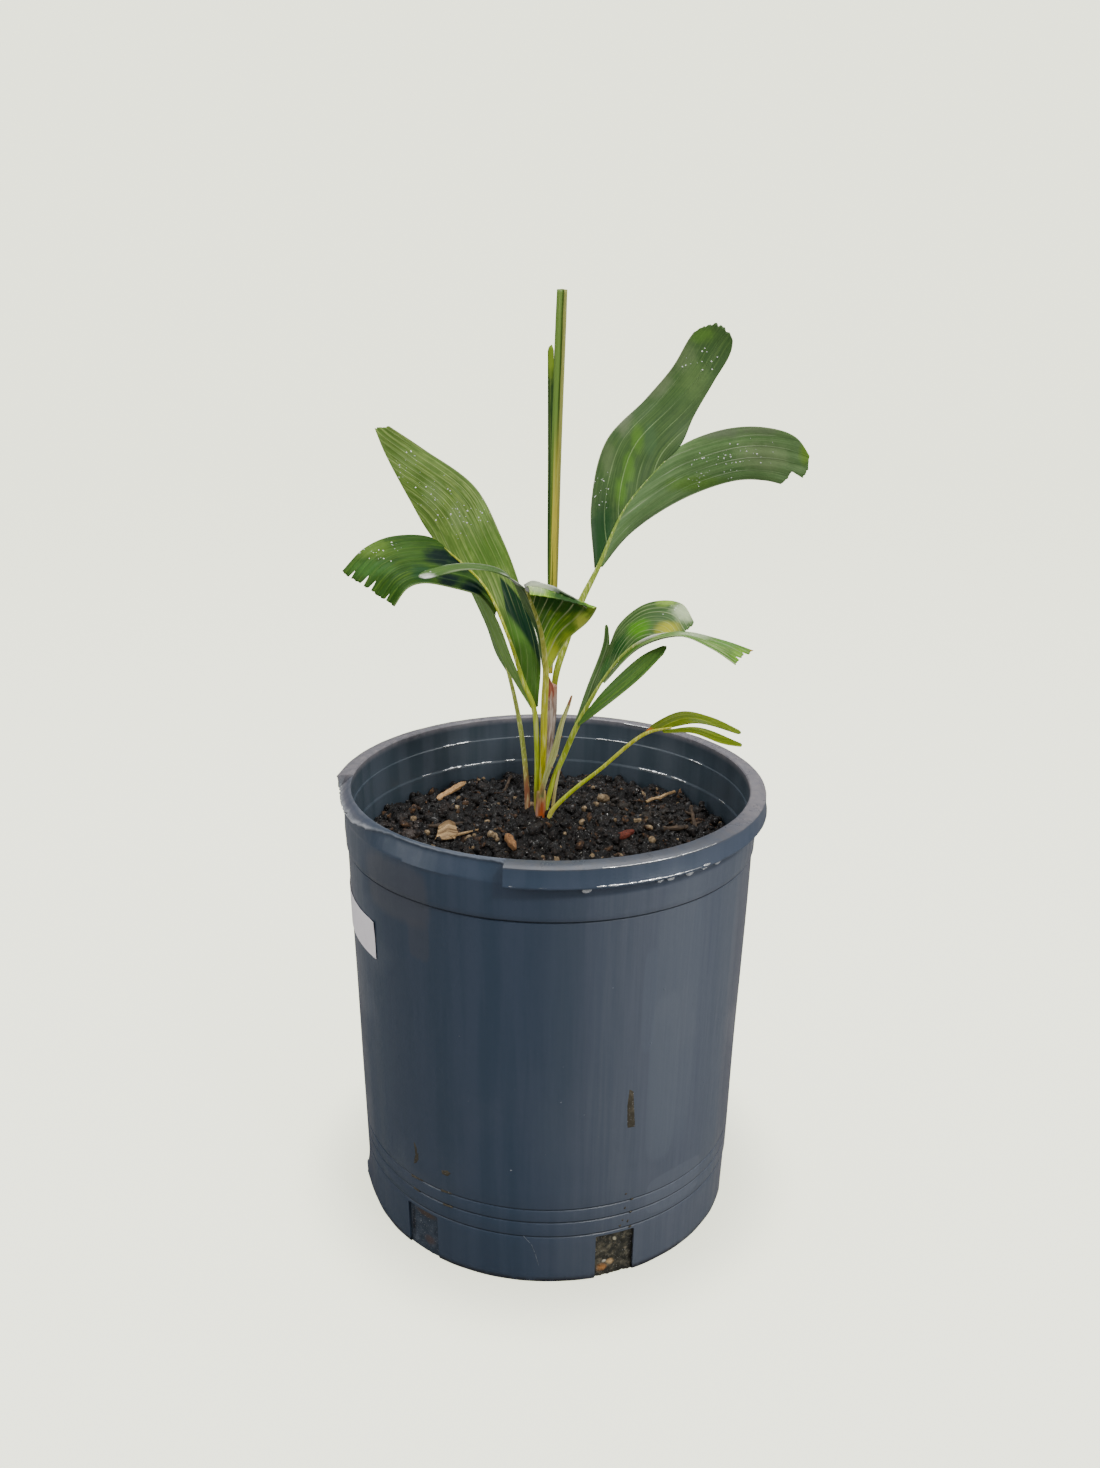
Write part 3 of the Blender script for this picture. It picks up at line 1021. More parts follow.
def low_frond():
    upper = leaf_blade("low_upper", ((48, -10, 265), (61, -13, 269.5), (74, -15, 272.5),
                                     (96, -13, 266)),
                       ((48.5, -8.5, 266), (53, -5, 269), (66.5, -4, 275), (81.5, -7, 273),
                        (97, -11, 267)), arch=0.8, seed=25, columns=22, rows=70, rounding=0.03)
    lower = leaf_blade("low_lower", ((56, -12, 267.5), (74, -17, 271), (96.5, -17, 262.5)),
                       ((57, -14, 267), (70.5, -24, 270.5), (84.5, -26, 266), (96, -20, 262)),
                       arch=0.8, seed=27, columns=22, rows=70, rounding=0.02)
    leaf = leaf_material("low_leaf", hue(112, 128, 8), hue(82, 102, 4), hue(156, 170, 44),
                         hue(176, 190, 60), pitch=3.4, vein_strength=0.4, seed=5.0, patches=(
                             ((50, -9, 266), (4.5, 4, 3), hue(184, 96, 26), 1.0),))
    stalk = stalk_material("low_stalk_skin", hue(206, 200, 84), hue(192, 210, 40),
                           hue(208, 208, 66))
    make_frond("low", "frond_low", "pale_leaf", [(upper, leaf), (lower, leaf)], stalk)


def back_frond():
    strip = leaf_blade("back_strip", ((-23, 32, 284.5), (-28.5, 44, 294.5), (-32.5, 52, 308),
                                      (-45, 66, 326.5)),
                       ((-23.5, 34, 283.5), (-30.5, 50, 290.5), (-36, 60, 303), (-47, 70, 324)),
                       arch=0.6, seed=29, columns=20, rows=70)
    leaf = leaf_material("back_leaf", hue(128, 160, 88), hue(84, 124, 54), hue(176, 190, 140),
                         hue(160, 176, 128), pitch=3.4, seed=6.0)
    stalk = stalk_material("back_stalk_skin", hue(150, 98, 72), hue(176, 186, 84),
                           hue(172, 190, 90), foot_until=0.22)
    make_frond("back", "frond_back", "pale_leaf", [(strip, leaf)], stalk)


def spear_leaf():
    """The folded new leaf: a yellow midrib between two dark folded edges, square at the tip."""
    path = ((-0.7, 7.2, 291.5), (-0.6, 7, 310), (0, 7, 338.5), (1, 7, 404.5), (2.6, 7, 465),
            (3, 7, 479))
    radii = (1.2, 2.1, 2.6, 2.7, 2.65, 2.5)
    body = leaf_stalk("spear_body", path, radii, sides=36, flat=0.5, channel=0.5, cap=0.12)
    fold = leaf_blade("spear_fold", ((-0.4, 6.4, 304), (0, 6.4, 345), (-0.3, 6.4, 400),
                                     (-0.6, 6.4, 455)),
                      ((-1.5, 6.3, 304), (-2.7, 6.2, 345), (-3.0, 6.2, 400), (-3.6, 6.2, 455)), rows=80,
                      columns=12, fold=0.1, teeth=0.01)
    made, shade, sockets = new_material("spear_skin", Specular_IOR_Level=0.25, Coat_Roughness=0.2)
    u, v, _ = shade.split(shade.node("ShaderNodeUVMap", uv_map="UVMap").outputs["UV"])
    x, y, z = shade.split(shade.place())
    fibre = shade.noise(shade.join(shade.math("MULTIPLY", x, 1500.0), 0.0,
                                   shade.math("MULTIPLY", z, 22.0)), 1.0, 3.0)
    side = shade.math("COSINE", shade.math("MULTIPLY", u, math.tau))
    side = shade.math("ADD", side, shade.math("MULTIPLY", shade.math("SUBTRACT", fibre, 0.5), 0.3))
    high = shade.mix(shade.ramp(side, -0.05, 0.1), hue(104, 136, 56), hue(58, 84, 22))
    high = shade.mix(shade.ramp(side, 0.28, 0.42), high, hue(146, 150, 78))
    low = shade.mix(shade.ramp(side, -0.6, -0.35), hue(92, 116, 40), hue(196, 182, 66))
    low = shade.mix(shade.ramp(side, 0.42, 0.6), low, hue(136, 132, 60))
    body_colour = shade.mix(shade.ramp(v, 0.42, 0.72), low, high)
    body_colour = shade.mix(shade.ramp(fibre, 0.52, 0.7, 0.0, 0.5), body_colour, hue(160, 178, 96))
    shade.feed(sockets["Base Color"], body_colour)
    shade.feed(sockets["Roughness"], shade.ramp(fibre, 0.3, 0.7, 0.34, 0.5))
    piece(body, made, ["spear_leaf"])
    leaf = leaf_material("spear_fold_leaf", hue(64, 94, 34), hue(34, 62, 26), hue(120, 140, 60),
                         hue(48, 72, 30), pitch=1.6, patches=(
                             ((-2, 6.3, 450), (4, 4, 16), hue(118, 146, 36), 1.0),))
    piece(fold, leaf, ["spear_leaf"])


def make_sheaths():
    """The stem base, the crown sheath with its pointed lip and the dry spike."""
    base_skin = sheath_material(
        "stem_base_skin", hue(134, 88, 62), hue(196, 146, 106), hue(150, 96, 74),
        hue(176, 150, 90), patches=(((-4.4, 2.4, 212), (3.4, 4.5, 8.5), hue(180, 84, 30), 1.0),
                                    ((-4.2, 2.6, 219), (1.6, 4, 4), hue(160, 70, 24), 0.8),
                                    ((-7.4, 4, 214), (1.2, 4, 9), hue(196, 150, 130), 0.8)))
    base = leaf_stalk("stem_base_sheath", ((-5.0, 6.0, 190), (-5.0, 5.8, 212), (-4.8, 5.4, 227)),
                      (3.3, 3.2, 2.5), sides=24, step=0.8)
    piece(base, base_skin, ["stem_base"])
    crown_skin = sheath_material("crown_skin", hue(146, 118, 108), hue(222, 206, 198),
                                 hue(120, 84, 60), hue(176, 128, 104))
    crown = leaf_stalk("crown_sheath_tube",
                       ((-4.6, 7.6, 226.9), (-3, 8, 241), (-1.5, 8, 257), (-0.3, 8, 271),
                        (0.8, 8, 285)), (1.7, 2.7, 3.2, 3.3, 2.3), sides=24, step=0.8)
    piece(crown, crown_skin, ["crown_sheath"])
    flap = leaf_blade("crown_flap", ((-2.3, 5.4, 277), (-2.5, 5.2, 284), (-2.2, 5.6, 291)),
                      ((0.9, 5.4, 277), (1.3, 5.4, 283), (-1.5, 5.8, 290.5)), rows=30,
                      columns=12, teeth=0.02, fold=0.1, arch=0.6, seed=31, thickness=0.5)
    flap_skin = sheath_material("crown_flap_skin", hue(146, 76, 56), hue(180, 112, 88),
                                hue(196, 164, 146), hue(140, 62, 40))
    piece(flap, flap_skin, ["crown_sheath"])
    spike = leaf_blade("dry_spike", ((-5.8, 4.6, 212), (-5.6, 3.6, 222), (-5.1, 0.6, 230),
                                     (-2.6, -1, 242), (1.2, -1, 255.2), (4.6, -1, 267.8),
                                     (8.0, -0.6, 277), (10.0, -0.2, 282)),
                       ((-3.4, 4.8, 212), (-3.4, 3.8, 222), (-3.0, 0.6, 230), (0.4, -1, 242),
                        (3.0, -1.4, 249), (5.0, -1.4, 259), (7.0, -1, 268), (9.5, -0.8, 276),
                        (11.0, -0.2, 282)), rows=90, columns=14, teeth=0.0, rounding=0.01,
                       fold=0.12, fold_pitch=1.2, arch=0.5, seed=33, thickness=0.5)
    spike_skin = leaf_material("spike_skin", hue(194, 196, 128), hue(160, 166, 92),
                               hue(206, 208, 160), hue(200, 196, 140), pitch=1.3,
                               vein_strength=0.5, seed=7.0, patches=(
                                   ((10, -0.5, 280), (3, 4, 6), hue(140, 70, 62), 1.0),
                                   ((-4.5, -0.5, 228), (3, 4, 8), hue(178, 112, 66), 0.7)))
    piece(spike, spike_skin, ["dry_leaf_spike"])
    teeth = bmesh.new()
    for x, z, size in ((0.5, 242.5, 0.9), (2.9, 248.9, 1.2), (3.9, 253.5, 0.8), (5.3, 259.3, 0.9)):
        tip = (x + size * 1.3, -1.5, z + size * 0.9)
        low = teeth.verts.new((x - 0.5, -1.2, z - size))
        high = teeth.verts.new((x - 0.2, -1.2, z + size))
        front = teeth.verts.new((x, -1.75, z))
        end = teeth.verts.new(tip)
        for corners in ((low, front, end), (front, high, end), (high, low, end), (low, high, front)):
            teeth.faces.new(corners)
    bmesh.ops.recalc_face_normals(teeth, faces=teeth.faces)
    piece(add_mesh("dry_spike_teeth", teeth), MATERIALS["grain"], ["dry_leaf_spike"])


# Pot

def wall_radius(height):
    return FOOT_RADIUS + (TOP_RADIUS - FOOT_RADIUS) * height / POT_HEIGHT


def on_wall(angle, height, lift=0.0):
    """A point on the pot's wall: its angle in degrees from the front, its height, its lift."""
    turn = math.radians(angle)
    radius = wall_radius(height) + lift
    return radius * math.sin(turn), -radius * math.cos(turn), height


def pot_profile():
    """(radius, height, place on the flange, inside) from the foot, up the outside, over the rim
    and down to the floor. The place runs from 0 at the flange's foot to 1 at its inner edge."""
    profile = [(FOOT_RADIUS - 1.8, 0.0), (FOOT_RADIUS - 0.6, 0.25), (wall_radius(1.6), 1.6)]
    profile += [(wall_radius(height), height) for height in (5, 8, 11, 14, 17, 20, 23.5)]
    for groove in GROOVE_HEIGHTS:
        for shift, depth in ((-1.3, 0.0), (-0.55, 0.12), (-0.25, 0.5), (0.25, 0.5), (0.55, 0.12),
                             (1.3, 0.0)):
            profile.append((wall_radius(groove + shift) - depth, groove + shift))
    for height in np.linspace(55, BAND_HEIGHT - 3, 22):
        profile.append((wall_radius(height), height))
    for shift, proud in ((-1.3, 0), (-0.9, -0.5), (-0.1, -0.6), (0.1, 0.55), (0.5, 0.8), (3, 0.8)):
        profile.append((wall_radius(BAND_HEIGHT + shift) + proud, BAND_HEIGHT + shift))
    skirt = POT_HEIGHT - RIM_SKIRT
    wall = wall_radius(skirt) + BAND_PROUD
    profile += [(wall, 215), (wall, 219), (wall, skirt - 2), (wall, skirt - 0.2)]
    flange = [(wall + 0.7, skirt), (RIM_RADIUS - 1.6, skirt - 0.1),
              (RIM_RADIUS - 0.4, skirt + 0.1), (RIM_RADIUS, skirt + 0.6),
              (RIM_RADIUS, skirt + 1.5), (RIM_RADIUS - 0.65, skirt + 2.6),
              (RIM_RADIUS - 0.75, POT_HEIGHT - 2.2), (RIM_RADIUS - 0.95, POT_HEIGHT - 1.45),
              (RIM_RADIUS - 1.5, POT_HEIGHT - 1.1), (RIM_RADIUS - 3.6, POT_HEIGHT - 0.5),
              (RIM_RADIUS - 5.4, POT_HEIGHT - 0.15), (RIM_INNER_RADIUS + 1.8, POT_HEIGHT),
              (RIM_INNER_RADIUS + 0.6, POT_HEIGHT - 0.1), (RIM_INNER_RADIUS, POT_HEIGHT - 0.7)]
    inner = [(RIM_INNER_RADIUS - 0.2, POT_HEIGHT - 4), (103.15, 224.9), (103.0, 224.3),
             (102.45, 223.9), (102.3, 223.2), (102.1, 210.6), (102.0, 210.1), (101.5, 209.6),
             (101.4, 209.0), (101.2, SOIL_EDGE_HEIGHT), (102.0, 150), (98.6, 6.0),
             (96.8, FLOOR_THICKNESS)]
    outline = [(radius, height, None, 0) for radius, height in profile]
    outline += [(radius, height, index / (len(flange) - 1), 0)
                for index, (radius, height) in enumerate(flange)]
    return outline + [(radius, height, None, 1) for radius, height in inner]


def flange_whole(angle, share):
    """Whether the rim's flange still stands at an angle. It is torn off along the front left."""
    start, end = BREAK_ANGLES
    tear = start - 6.5 + 5.5 * min(share / 0.6, 1) + 0.7 * wobble(share * 9, 3.3)
    return angle <= tear or angle >= end


def torn_point(share, angle):
    """Radius and height of a point of the flange's outline where the flange is torn off."""
    reach = np.interp(angle, (-91, -84, -78, -62, -52, -46, -14, -11),
                      (110.5, 109.2, 108.8, 108.6, 105.6, 104.6, 104.6, 105.6))
    rugged = min(max((reach - 104.2) / 2, 0.15), 1)
    reach += rugged * (0.9 * wobble(angle * 0.5, 1.7) + 0.6 * wobble(angle * 1.7, 5.2))
    reach = max(reach, RIM_INNER_RADIUS + 0.9)
    brim = POT_HEIGHT - 0.9 * (reach - RIM_INNER_RADIUS)
    skirt = POT_HEIGHT - RIM_SKIRT
    foot = wall_radius(skirt) + BAND_PROUD
    neck = min(reach - 0.4, foot - 0.2)
    shares = (0, 0.5, 0.62, 0.7, 0.77, 1)
    radii = (foot, neck, reach - 0.15, reach, reach - 0.3, RIM_INNER_RADIUS)
    heights = (skirt, brim - 1.4, brim - 0.9, brim - 0.4, brim, POT_HEIGHT - 0.5)
    return np.interp(share, shares, radii), np.interp(share, shares, heights)


def pot_angles():
    start, end = BREAK_ANGLES
    extra = [end - 0.03, end + 0.03] + list(np.arange(start - 12, start + 4, 0.35))
    extra += list(np.arange(start + 4, end - 1, 0.7))
    even = [angle for angle in np.arange(-180, 180, 1.25)
            if all(abs(angle - other) > 0.3 for other in extra)]
    return sorted(even + extra)


def notch_tool(number):
    """The block that cuts one drain notch, its long edges a little rounded."""
    bm = bmesh.new()
    bmesh.ops.create_cube(bm, size=1)
    bmesh.ops.scale(bm, vec=(NOTCH_WIDTH, 30, NOTCH_HEIGHT + 5), verts=bm.verts)
    bmesh.ops.translate(bm, vec=(0, -105, (NOTCH_HEIGHT - 5) / 2), verts=bm.verts)
    long_edges = [edge for edge in bm.edges
                  if abs(edge.verts[0].co.y - edge.verts[1].co.y) > 1]
    bmesh.ops.bevel(bm, geom=long_edges, offset=0.8, segments=3, affect="EDGES", profile=0.5)
    turn = Matrix.Rotation(math.radians(NOTCH_FIRST_ANGLE + 60 * number), 4, "Z")
    bmesh.ops.transform(bm, matrix=turn, verts=bm.verts)
    return add_mesh("notch_tool", bm)


def cut_notches(made):
    cutters = [notch_tool(number) for number in range(NOTCH_COUNT)]
    tools = bpy.data.collections.new("notch_tools")
    bpy.context.scene.collection.children.link(tools)
    for cutter in cutters:
        tools.objects.link(cutter)
    cut = made.modifiers.new("notches", "BOOLEAN")
    cut.operation = "DIFFERENCE"
    cut.operand_type = "COLLECTION"
    cut.collection = tools
    cut.solver = "EXACT"
    freeze(made)
    for cutter in cutters:
        bpy.data.objects.remove(cutter, do_unlink=True)
    bpy.data.collections.remove(tools)


def make_pot():
    profile = pot_profile()
    angles = pot_angles()
    points, worn, torn, inside = [], [], [], []
    for angle in angles:
        turn = math.radians(angle)
        for radius, height, share, within in profile:
            edge = tear = 0.0
            if share is None:
                sway = 0.35 * wobble(2 * math.sin(turn), 2 * math.cos(turn), height / 70)
                dent = 1.9 * math.exp(-((angle + 79) / 5) ** 2 - ((height - 7) / 6) ** 2)
                nick = 0.25 * wobble(9 * math.sin(turn), 9 * math.cos(turn), height) * (height < 2)
                radius += (sway * min(height / 20, 1) + dent) * (1 - within) + nick
            elif flange_whole(angle, share):
                flare = max(1 - abs(angle - BREAK_ANGLES[0] - 1) / 9, 0) ** 2
                chatter = wobble(22 * math.sin(turn), 22 * math.cos(turn))
                radius += 1.8 * flare * (share < 0.75) + 0.08 * chatter
                height += 0.12 * wobble(14 * math.sin(turn), 14 * math.cos(turn), share * 3)
                edge = 1.0 if share > 0.5 else 0.0
            else:
                radius, height = torn_point(share, angle)
                ledge = min(max((radius - 105.2) / 2.5, 0), 1)
                edge = 0.25 + 0.45 * ledge if share > 0.75 else 0.0
                tear = 0.25 + 0.75 * ledge if 0.58 < share < 0.78 or share > 0.97 else 0.0
            points.append((radius * math.sin(turn), -radius * math.cos(turn), height))
            worn.append(edge)
            torn.append(tear)
            inside.append(within)
    count = len(profile)
    faces = []
    for column in range(len(angles)):
        first = column * count
        second = (column + 1) % len(angles) * count
        for row in range(count - 1):
            faces.append((first + row, second + row, second + row + 1, first + row + 1))
        faces.append((len(points), second, first))
        faces.append((len(points) + 1, first + count - 1, second + count - 1))
    points += [(0, 0, 0), (0, 0, FLOOR_THICKNESS)]
    made = add_mesh("pot_shell", (points, faces))
    set_attribute(made.data, "worn", worn + [0, 0])
    set_attribute(made.data, "torn", torn + [0, 0])
    set_attribute(made.data, "inside", inside + [0, 1])
    cut_notches(made)
    made.data.shade_smooth()
    made.data.set_sharp_from_angle(angle=math.radians(38))
    piece(made, MATERIALS["pot"], ["pot"])


def notch_panel(number, material, recess, rough):
    """What shows inside a drain notch: a lumpy curved face a little behind the wall."""
    centre = NOTCH_FIRST_ANGLE + 60 * number
    half = math.degrees(NOTCH_WIDTH / 2 / FOOT_RADIUS) + 0.5
    columns, rows = 34, 42
    points, faces = [], []
    for row in range(rows + 1):
        for column in range(columns + 1):
            angle = centre - half + 2 * half * column / columns
            height = 0.3 + (NOTCH_HEIGHT + 0.6) * row / rows
            lump = wobble(angle * 0.45, height / 4, number) + 0.6 * wobble(angle * 1.3, height / 1.6)
            x, y, _ = on_wall(angle, height, -recess + rough * lump)
            points.append((x, y, height))
    for row in range(rows):
        for column in range(columns):
            a = row * (columns + 1) + column
            faces.append((a, a + 1, a + columns + 2, a + columns + 1))
    made = add_mesh(f"notch_face_{number}", (points, faces))
    solid = made.modifiers.new("thickness", "SOLIDIFY")
    solid.thickness = 0.8 * MM
    solid.offset = -1
    freeze(made)
    made.data.shade_smooth()
    piece(made, material)


def make_notch_panels():
    slate = earth_material("notch_slate", hue(54, 64, 76), hue(84, 92, 104), wet=0.1, scale=160,
                           patches=(((-62, -78, 24), (9, 9, 3), hue(78, 66, 58), 0.9),
                                    ((-52, -87, 26), (7, 7, 2.5), hue(84, 70, 60), 0.9),
                                    ((-61, -80, 8), (5, 6, 4), hue(80, 66, 64), 0.8),
                                    ((-52, -87, 14), (4, 6, 3), hue(96, 88, 84), 0.8),
                                    ((-69.5, -73, 14), (2, 4, 16), hue(14, 14, 18), 0.9)))
    peat = earth_material("notch_peat", hue(50, 50, 44), hue(116, 110, 92), wet=0.1, scale=300,
                          patches=(((29, -96, 5.5), (4, 5, 3.4), hue(186, 130, 76), 1.0),
                                   ((33, -95, 8), (3, 5, 2.2), hue(206, 170, 120), 1.0),
                                   ((30, -96, 9), (1.6, 5, 1.3), hue(214, 206, 186), 1.0),
                                   ((35, -94, 22), (1.3, 4, 1.3), hue(170, 164, 140), 1.0),
                                   ((41, -92, 14), (1.5, 4, 1.7), hue(150, 140, 120), 1.0),
                                   ((44, -90, 14), (2.5, 4, 16), hue(14, 13, 12), 0.9)))
    for number in range(NOTCH_COUNT):
        if number == 5:
            notch_panel(number, slate, 1.3, 0.22)
        else:
            notch_panel(number, peat, 2.2 if number else 1.6, 1.0)


def wall_mark(bm, outline, lift=0.14, ragged=0.2):
    """A dab of dried mud on the wall. The outline lists angles in degrees and heights."""
    corners = [np.array((math.radians(angle) * wall_radius(height), height))
               for angle, height in outline]
    rim = []
    for first, second in zip(corners, corners[1:] + corners[:1]):
        steps = max(2, round(np.linalg.norm(second - first) / 0.6))
        rim += [first + (second - first) * step / steps for step in range(steps)]
    middle = sum(rim) / len(rim)
    rings = []
    for shrink, height in ((1.0, -0.15), (0.86, lift * 0.8), (0.5, lift)):
        ring = []
        for spot in rim:
            across, up = middle + (spot - middle) * shrink
            across += ragged * wobble(spot[0] * 1.1, spot[1] * 1.1, 2)
            up += ragged * wobble(spot[0] * 1.1, spot[1] * 1.1, 8)
            angle = math.degrees(across / wall_radius(up))
            ring.append(bm.verts.new(on_wall(angle, up, height)))
        rings.append(ring)
    centre = bm.verts.new(on_wall(math.degrees(middle[0] / wall_radius(middle[1])), middle[1], lift))
    for low, high in zip(rings, rings[1:]):
        for index in range(len(rim)):
            following = (index + 1) % len(rim)
            bm.faces.new((low[index], low[following], high[following], high[index]))
    for index in range(len(rim)):
        bm.faces.new((rings[-1][index], rings[-1][(index + 1) % len(rim)], centre))


def dab(angle, height, wide, tall):
    """A small four-sided outline round a place on the wall, sizes in millimetres."""
    side = math.degrees(wide / 2 / wall_radius(height))
    return ((angle - side, height), (angle, height - tall / 2), (angle + side, height + 0.1 * tall),
            (angle + 0.2 * side, height + tall / 2))


def dash(first, second, wide):
    """A long thin outline between two places on the wall."""
    (a, low), (b, high) = first, second
    flat = abs(high - low) < 3
    side = 0 if flat else math.degrees(wide / 2 / wall_radius(low))
    rise = wide / 2 if flat else 0
    return ((a - side, low - rise), (b - side * 0.5, high - rise * 0.7),
            (b + side * 0.5, high + rise * 0.7), (a + side, low + rise))


def make_wall_marks():
    mud = bmesh.new()
    for outline in (((-42.1, 70.3), (-41.5, 64.5), (-41.2, 58.2), (-42.1, 51.8), (-39.3, 55.1),
                     (-38.8, 63.1), (-41.0, 69.9)),
                    ((-31.2, 55.4), (-29.3, 54.9), (-27.9, 57.7), (-29.1, 59.1), (-31.5, 57.6)),
                    ((22.5, 88), (25.2, 87.3), (24.6, 99), (24, 110.6), (22.7, 112.5),
                     (22.2, 103.2)),
                    dash((-43.4, 44.4), (-38.4, 45.4), 1.3), dash((-42.6, 37.6), (-39.9, 37.3), 1.2),
                    dash((-31.8, 45.0), (-28.1, 45.4), 1.4), dash((-31.3, 36.8), (-27.9, 37.0), 1.2)):
        wall_mark(mud, outline)
    for angle, height, wide, tall in ((23.2, 49.3, 1.6, 1.2), (25.2, 45.0, 2.0, 1.3),
                                      (23.1, 40.7, 1.5, 2.0), (25.0, 37.2, 1.8, 1.1),
                                      (21.8, 30.4, 1.6, 1.6), (25.0, 28.0, 2.2, 1.6),
                                      (22.5, 33.5, 1.2, 1.2), (24.2, 32.0, 1.4, 2.0)):
        wall_mark(mud, dab(angle, height, wide, tall))
    made = add_mesh("mud_marks", mud)
    made.data.shade_smooth()
    piece(made, earth_material("dried_mud", hue(66, 62, 52), hue(100, 94, 80), wet=0.05, scale=150))
    lime = bmesh.new()
    for angle, height, wide, tall in ((-82.5, 6, 2.2, 8.0), (-80.5, 4, 1.6, 3.4)):
        wall_mark(lime, dab(angle, height, wide, tall), lift=2.0, ragged=0.3)
    for angle, height, size in ((-9.8, 68, 1.3), (3.7, 109, 1.0), (10.1, 101, 0.9),
                                (43.6, 71.5, 1.5), (16.7, 170, 1.0), (4.1, 129, 0.8),
                                (28.7, 135, 1.1), (32, 163, 1.2), (-11.9, 222.8, 1.6),
                                (-10.2, 222.4, 1.3), (-8.2, 222.6, 1.8), (-24, 140, 0.8),
                                (51, 96, 1.1), (57, 128, 1.0)):
        wall_mark(lime, dab(angle, height, size, size * 0.8), lift=0.12, ragged=0.1)
    for first, second in (((34.4, 102.5), (33.4, 97)), ((33.4, 96.5), (33.3, 92)),
                          ((-6.4, 28.9), (-4.3, 24.5)), ((-4.2, 24.3), (-3.0, 18.8)),
                          ((-3.0, 18.6), (-1.9, 10.7))):
        wall_mark(lime, dash(first, second, 0.5), lift=0.08, ragged=0.05)
    made = add_mesh("lime_specks", lime)
    made.data.shade_smooth()
    piece(made, earth_material("dried_lime", hue(92, 100, 112), hue(150, 158, 168), wet=0.0))


def bead(bm, angle, radius, height, size):
    """A drop that clings to the pot: wide, deep and high in millimetres, slightly uneven."""
    made = bmesh.ops.create_icosphere(bm, subdivisions=3, radius=0.5)["verts"]
    for vert in made:
        push = 1 + 0.25 * wobble(vert.co.x * 1.7 + angle, vert.co.y * 1.7, vert.co.z * 1.7 + height)
        vert.co = Vector((vert.co.x * size[0], vert.co.y * size[1], vert.co.z * size[2])) * push
    turn = math.radians(angle)
    place = Matrix.Translation((radius * math.sin(turn), -radius * math.cos(turn), height))
    bmesh.ops.transform(bm, matrix=place @ Matrix.Rotation(turn, 4, "Z"), verts=made)


def shine_line(bm, first, last, radius, height, thin):
    """A broken row of long wet streaks along an edge of the rim."""
    angle = first
    while angle <= last:
        wide = 2.0 + 12.0 * abs(wobble(angle * 2.3, height))
        bead(bm, angle, radius, height, (wide, thin, thin * (0.8 + wobble(angle, height))))
        angle += wide * (0.34 + 0.2 * abs(wobble(angle, 4.4)))


def make_water():
    """Drops that hang under the rim's lip and water that stands on the ledges inside."""
    bm = bmesh.new()
    lip = wall_radius(222) + BAND_PROUD
    for angle, size in ((9, 3.2), (28, 2.2), (31, 2.6), (37, 3.2), (42, 2.6), (47, 3.4), (59, 2.6)):
        bead(bm, angle, lip + 1.0, 223.4, (size * 1.5, 2.4, size))
    made = add_mesh("hanging_drops", bm)
    made.data.shade_smooth()
    piece(made, MATERIALS["water"])
    bm = bmesh.new()
    skirt = POT_HEIGHT - RIM_SKIRT
    for first, last, radius, height, thin in (
            (-150, -142.5, 102.4, 224.4, 1.1), (155, 163, 102.4, 224.3, 0.7),
            (-172, -169, 102.4, 224.3, 0.7), (-158, -150, 101.6, 210.2, 0.7),
            (-148, -142, 101.6, 210.3, 1.2), (-167, -164, 101.6, 210.2, 0.7),
            (131, 136, 101.6, 210.2, 0.9), (139, 149, 101.6, 210.3, 1.0),
            (148, 156, 103.2, 235.6, 0.6), (124, 129, 102.4, 224.2, 0.7),
            (-136, -134, 101.6, 210.2, 0.6), (110, 113, 101.6, 210.2, 0.6),
            (12, 41, RIM_RADIUS - 0.15, skirt + 1.4, 0.8), (-9, 11, RIM_RADIUS - 0.2, skirt + 1.3, 0.35),
            (13, 44, RIM_RADIUS - 1.15, POT_HEIGHT - 1.3, 0.4),
            (-88, -62, 108.9, 231.6, 0.35)):
        shine_line(bm, first, last, radius, height, thin)
    made = add_mesh("standing_water", bm)
    made.data.shade_smooth()
    piece(made, MATERIALS["glint"])


def make_label():
    """A thin blank sticker on the wall, its free corner lifted a little."""
    columns, rows = 40, 12
    points, faces = [], []
    for row in range(rows + 1):
        for column in range(columns + 1):
            across = column / columns
            up = row / rows
            lift = 0.16 + 0.5 * max(across - 0.93, 0) * max(up - 0.6, 0) * 30
            points.append(on_wall(-88.0 + 33.4 * across, 162.4 + 20.6 * up, lift + 0.3))
    for row in range(rows):
        for column in range(columns):
            a = row * (columns + 1) + column
            faces.append((a, a + 1, a + columns + 2, a + columns + 1))
    made = add_mesh("label_sticker", (points, faces))
    solid = made.modifiers.new("thickness", "SOLIDIFY")
    solid.thickness = 0.16 * MM
    solid.offset = 0
    freeze(made)
    made.data.shade_smooth()
    made.data.set_sharp_from_angle(angle=math.radians(40))
    piece(made, MATERIALS["paper"], ["label"])


# Soil

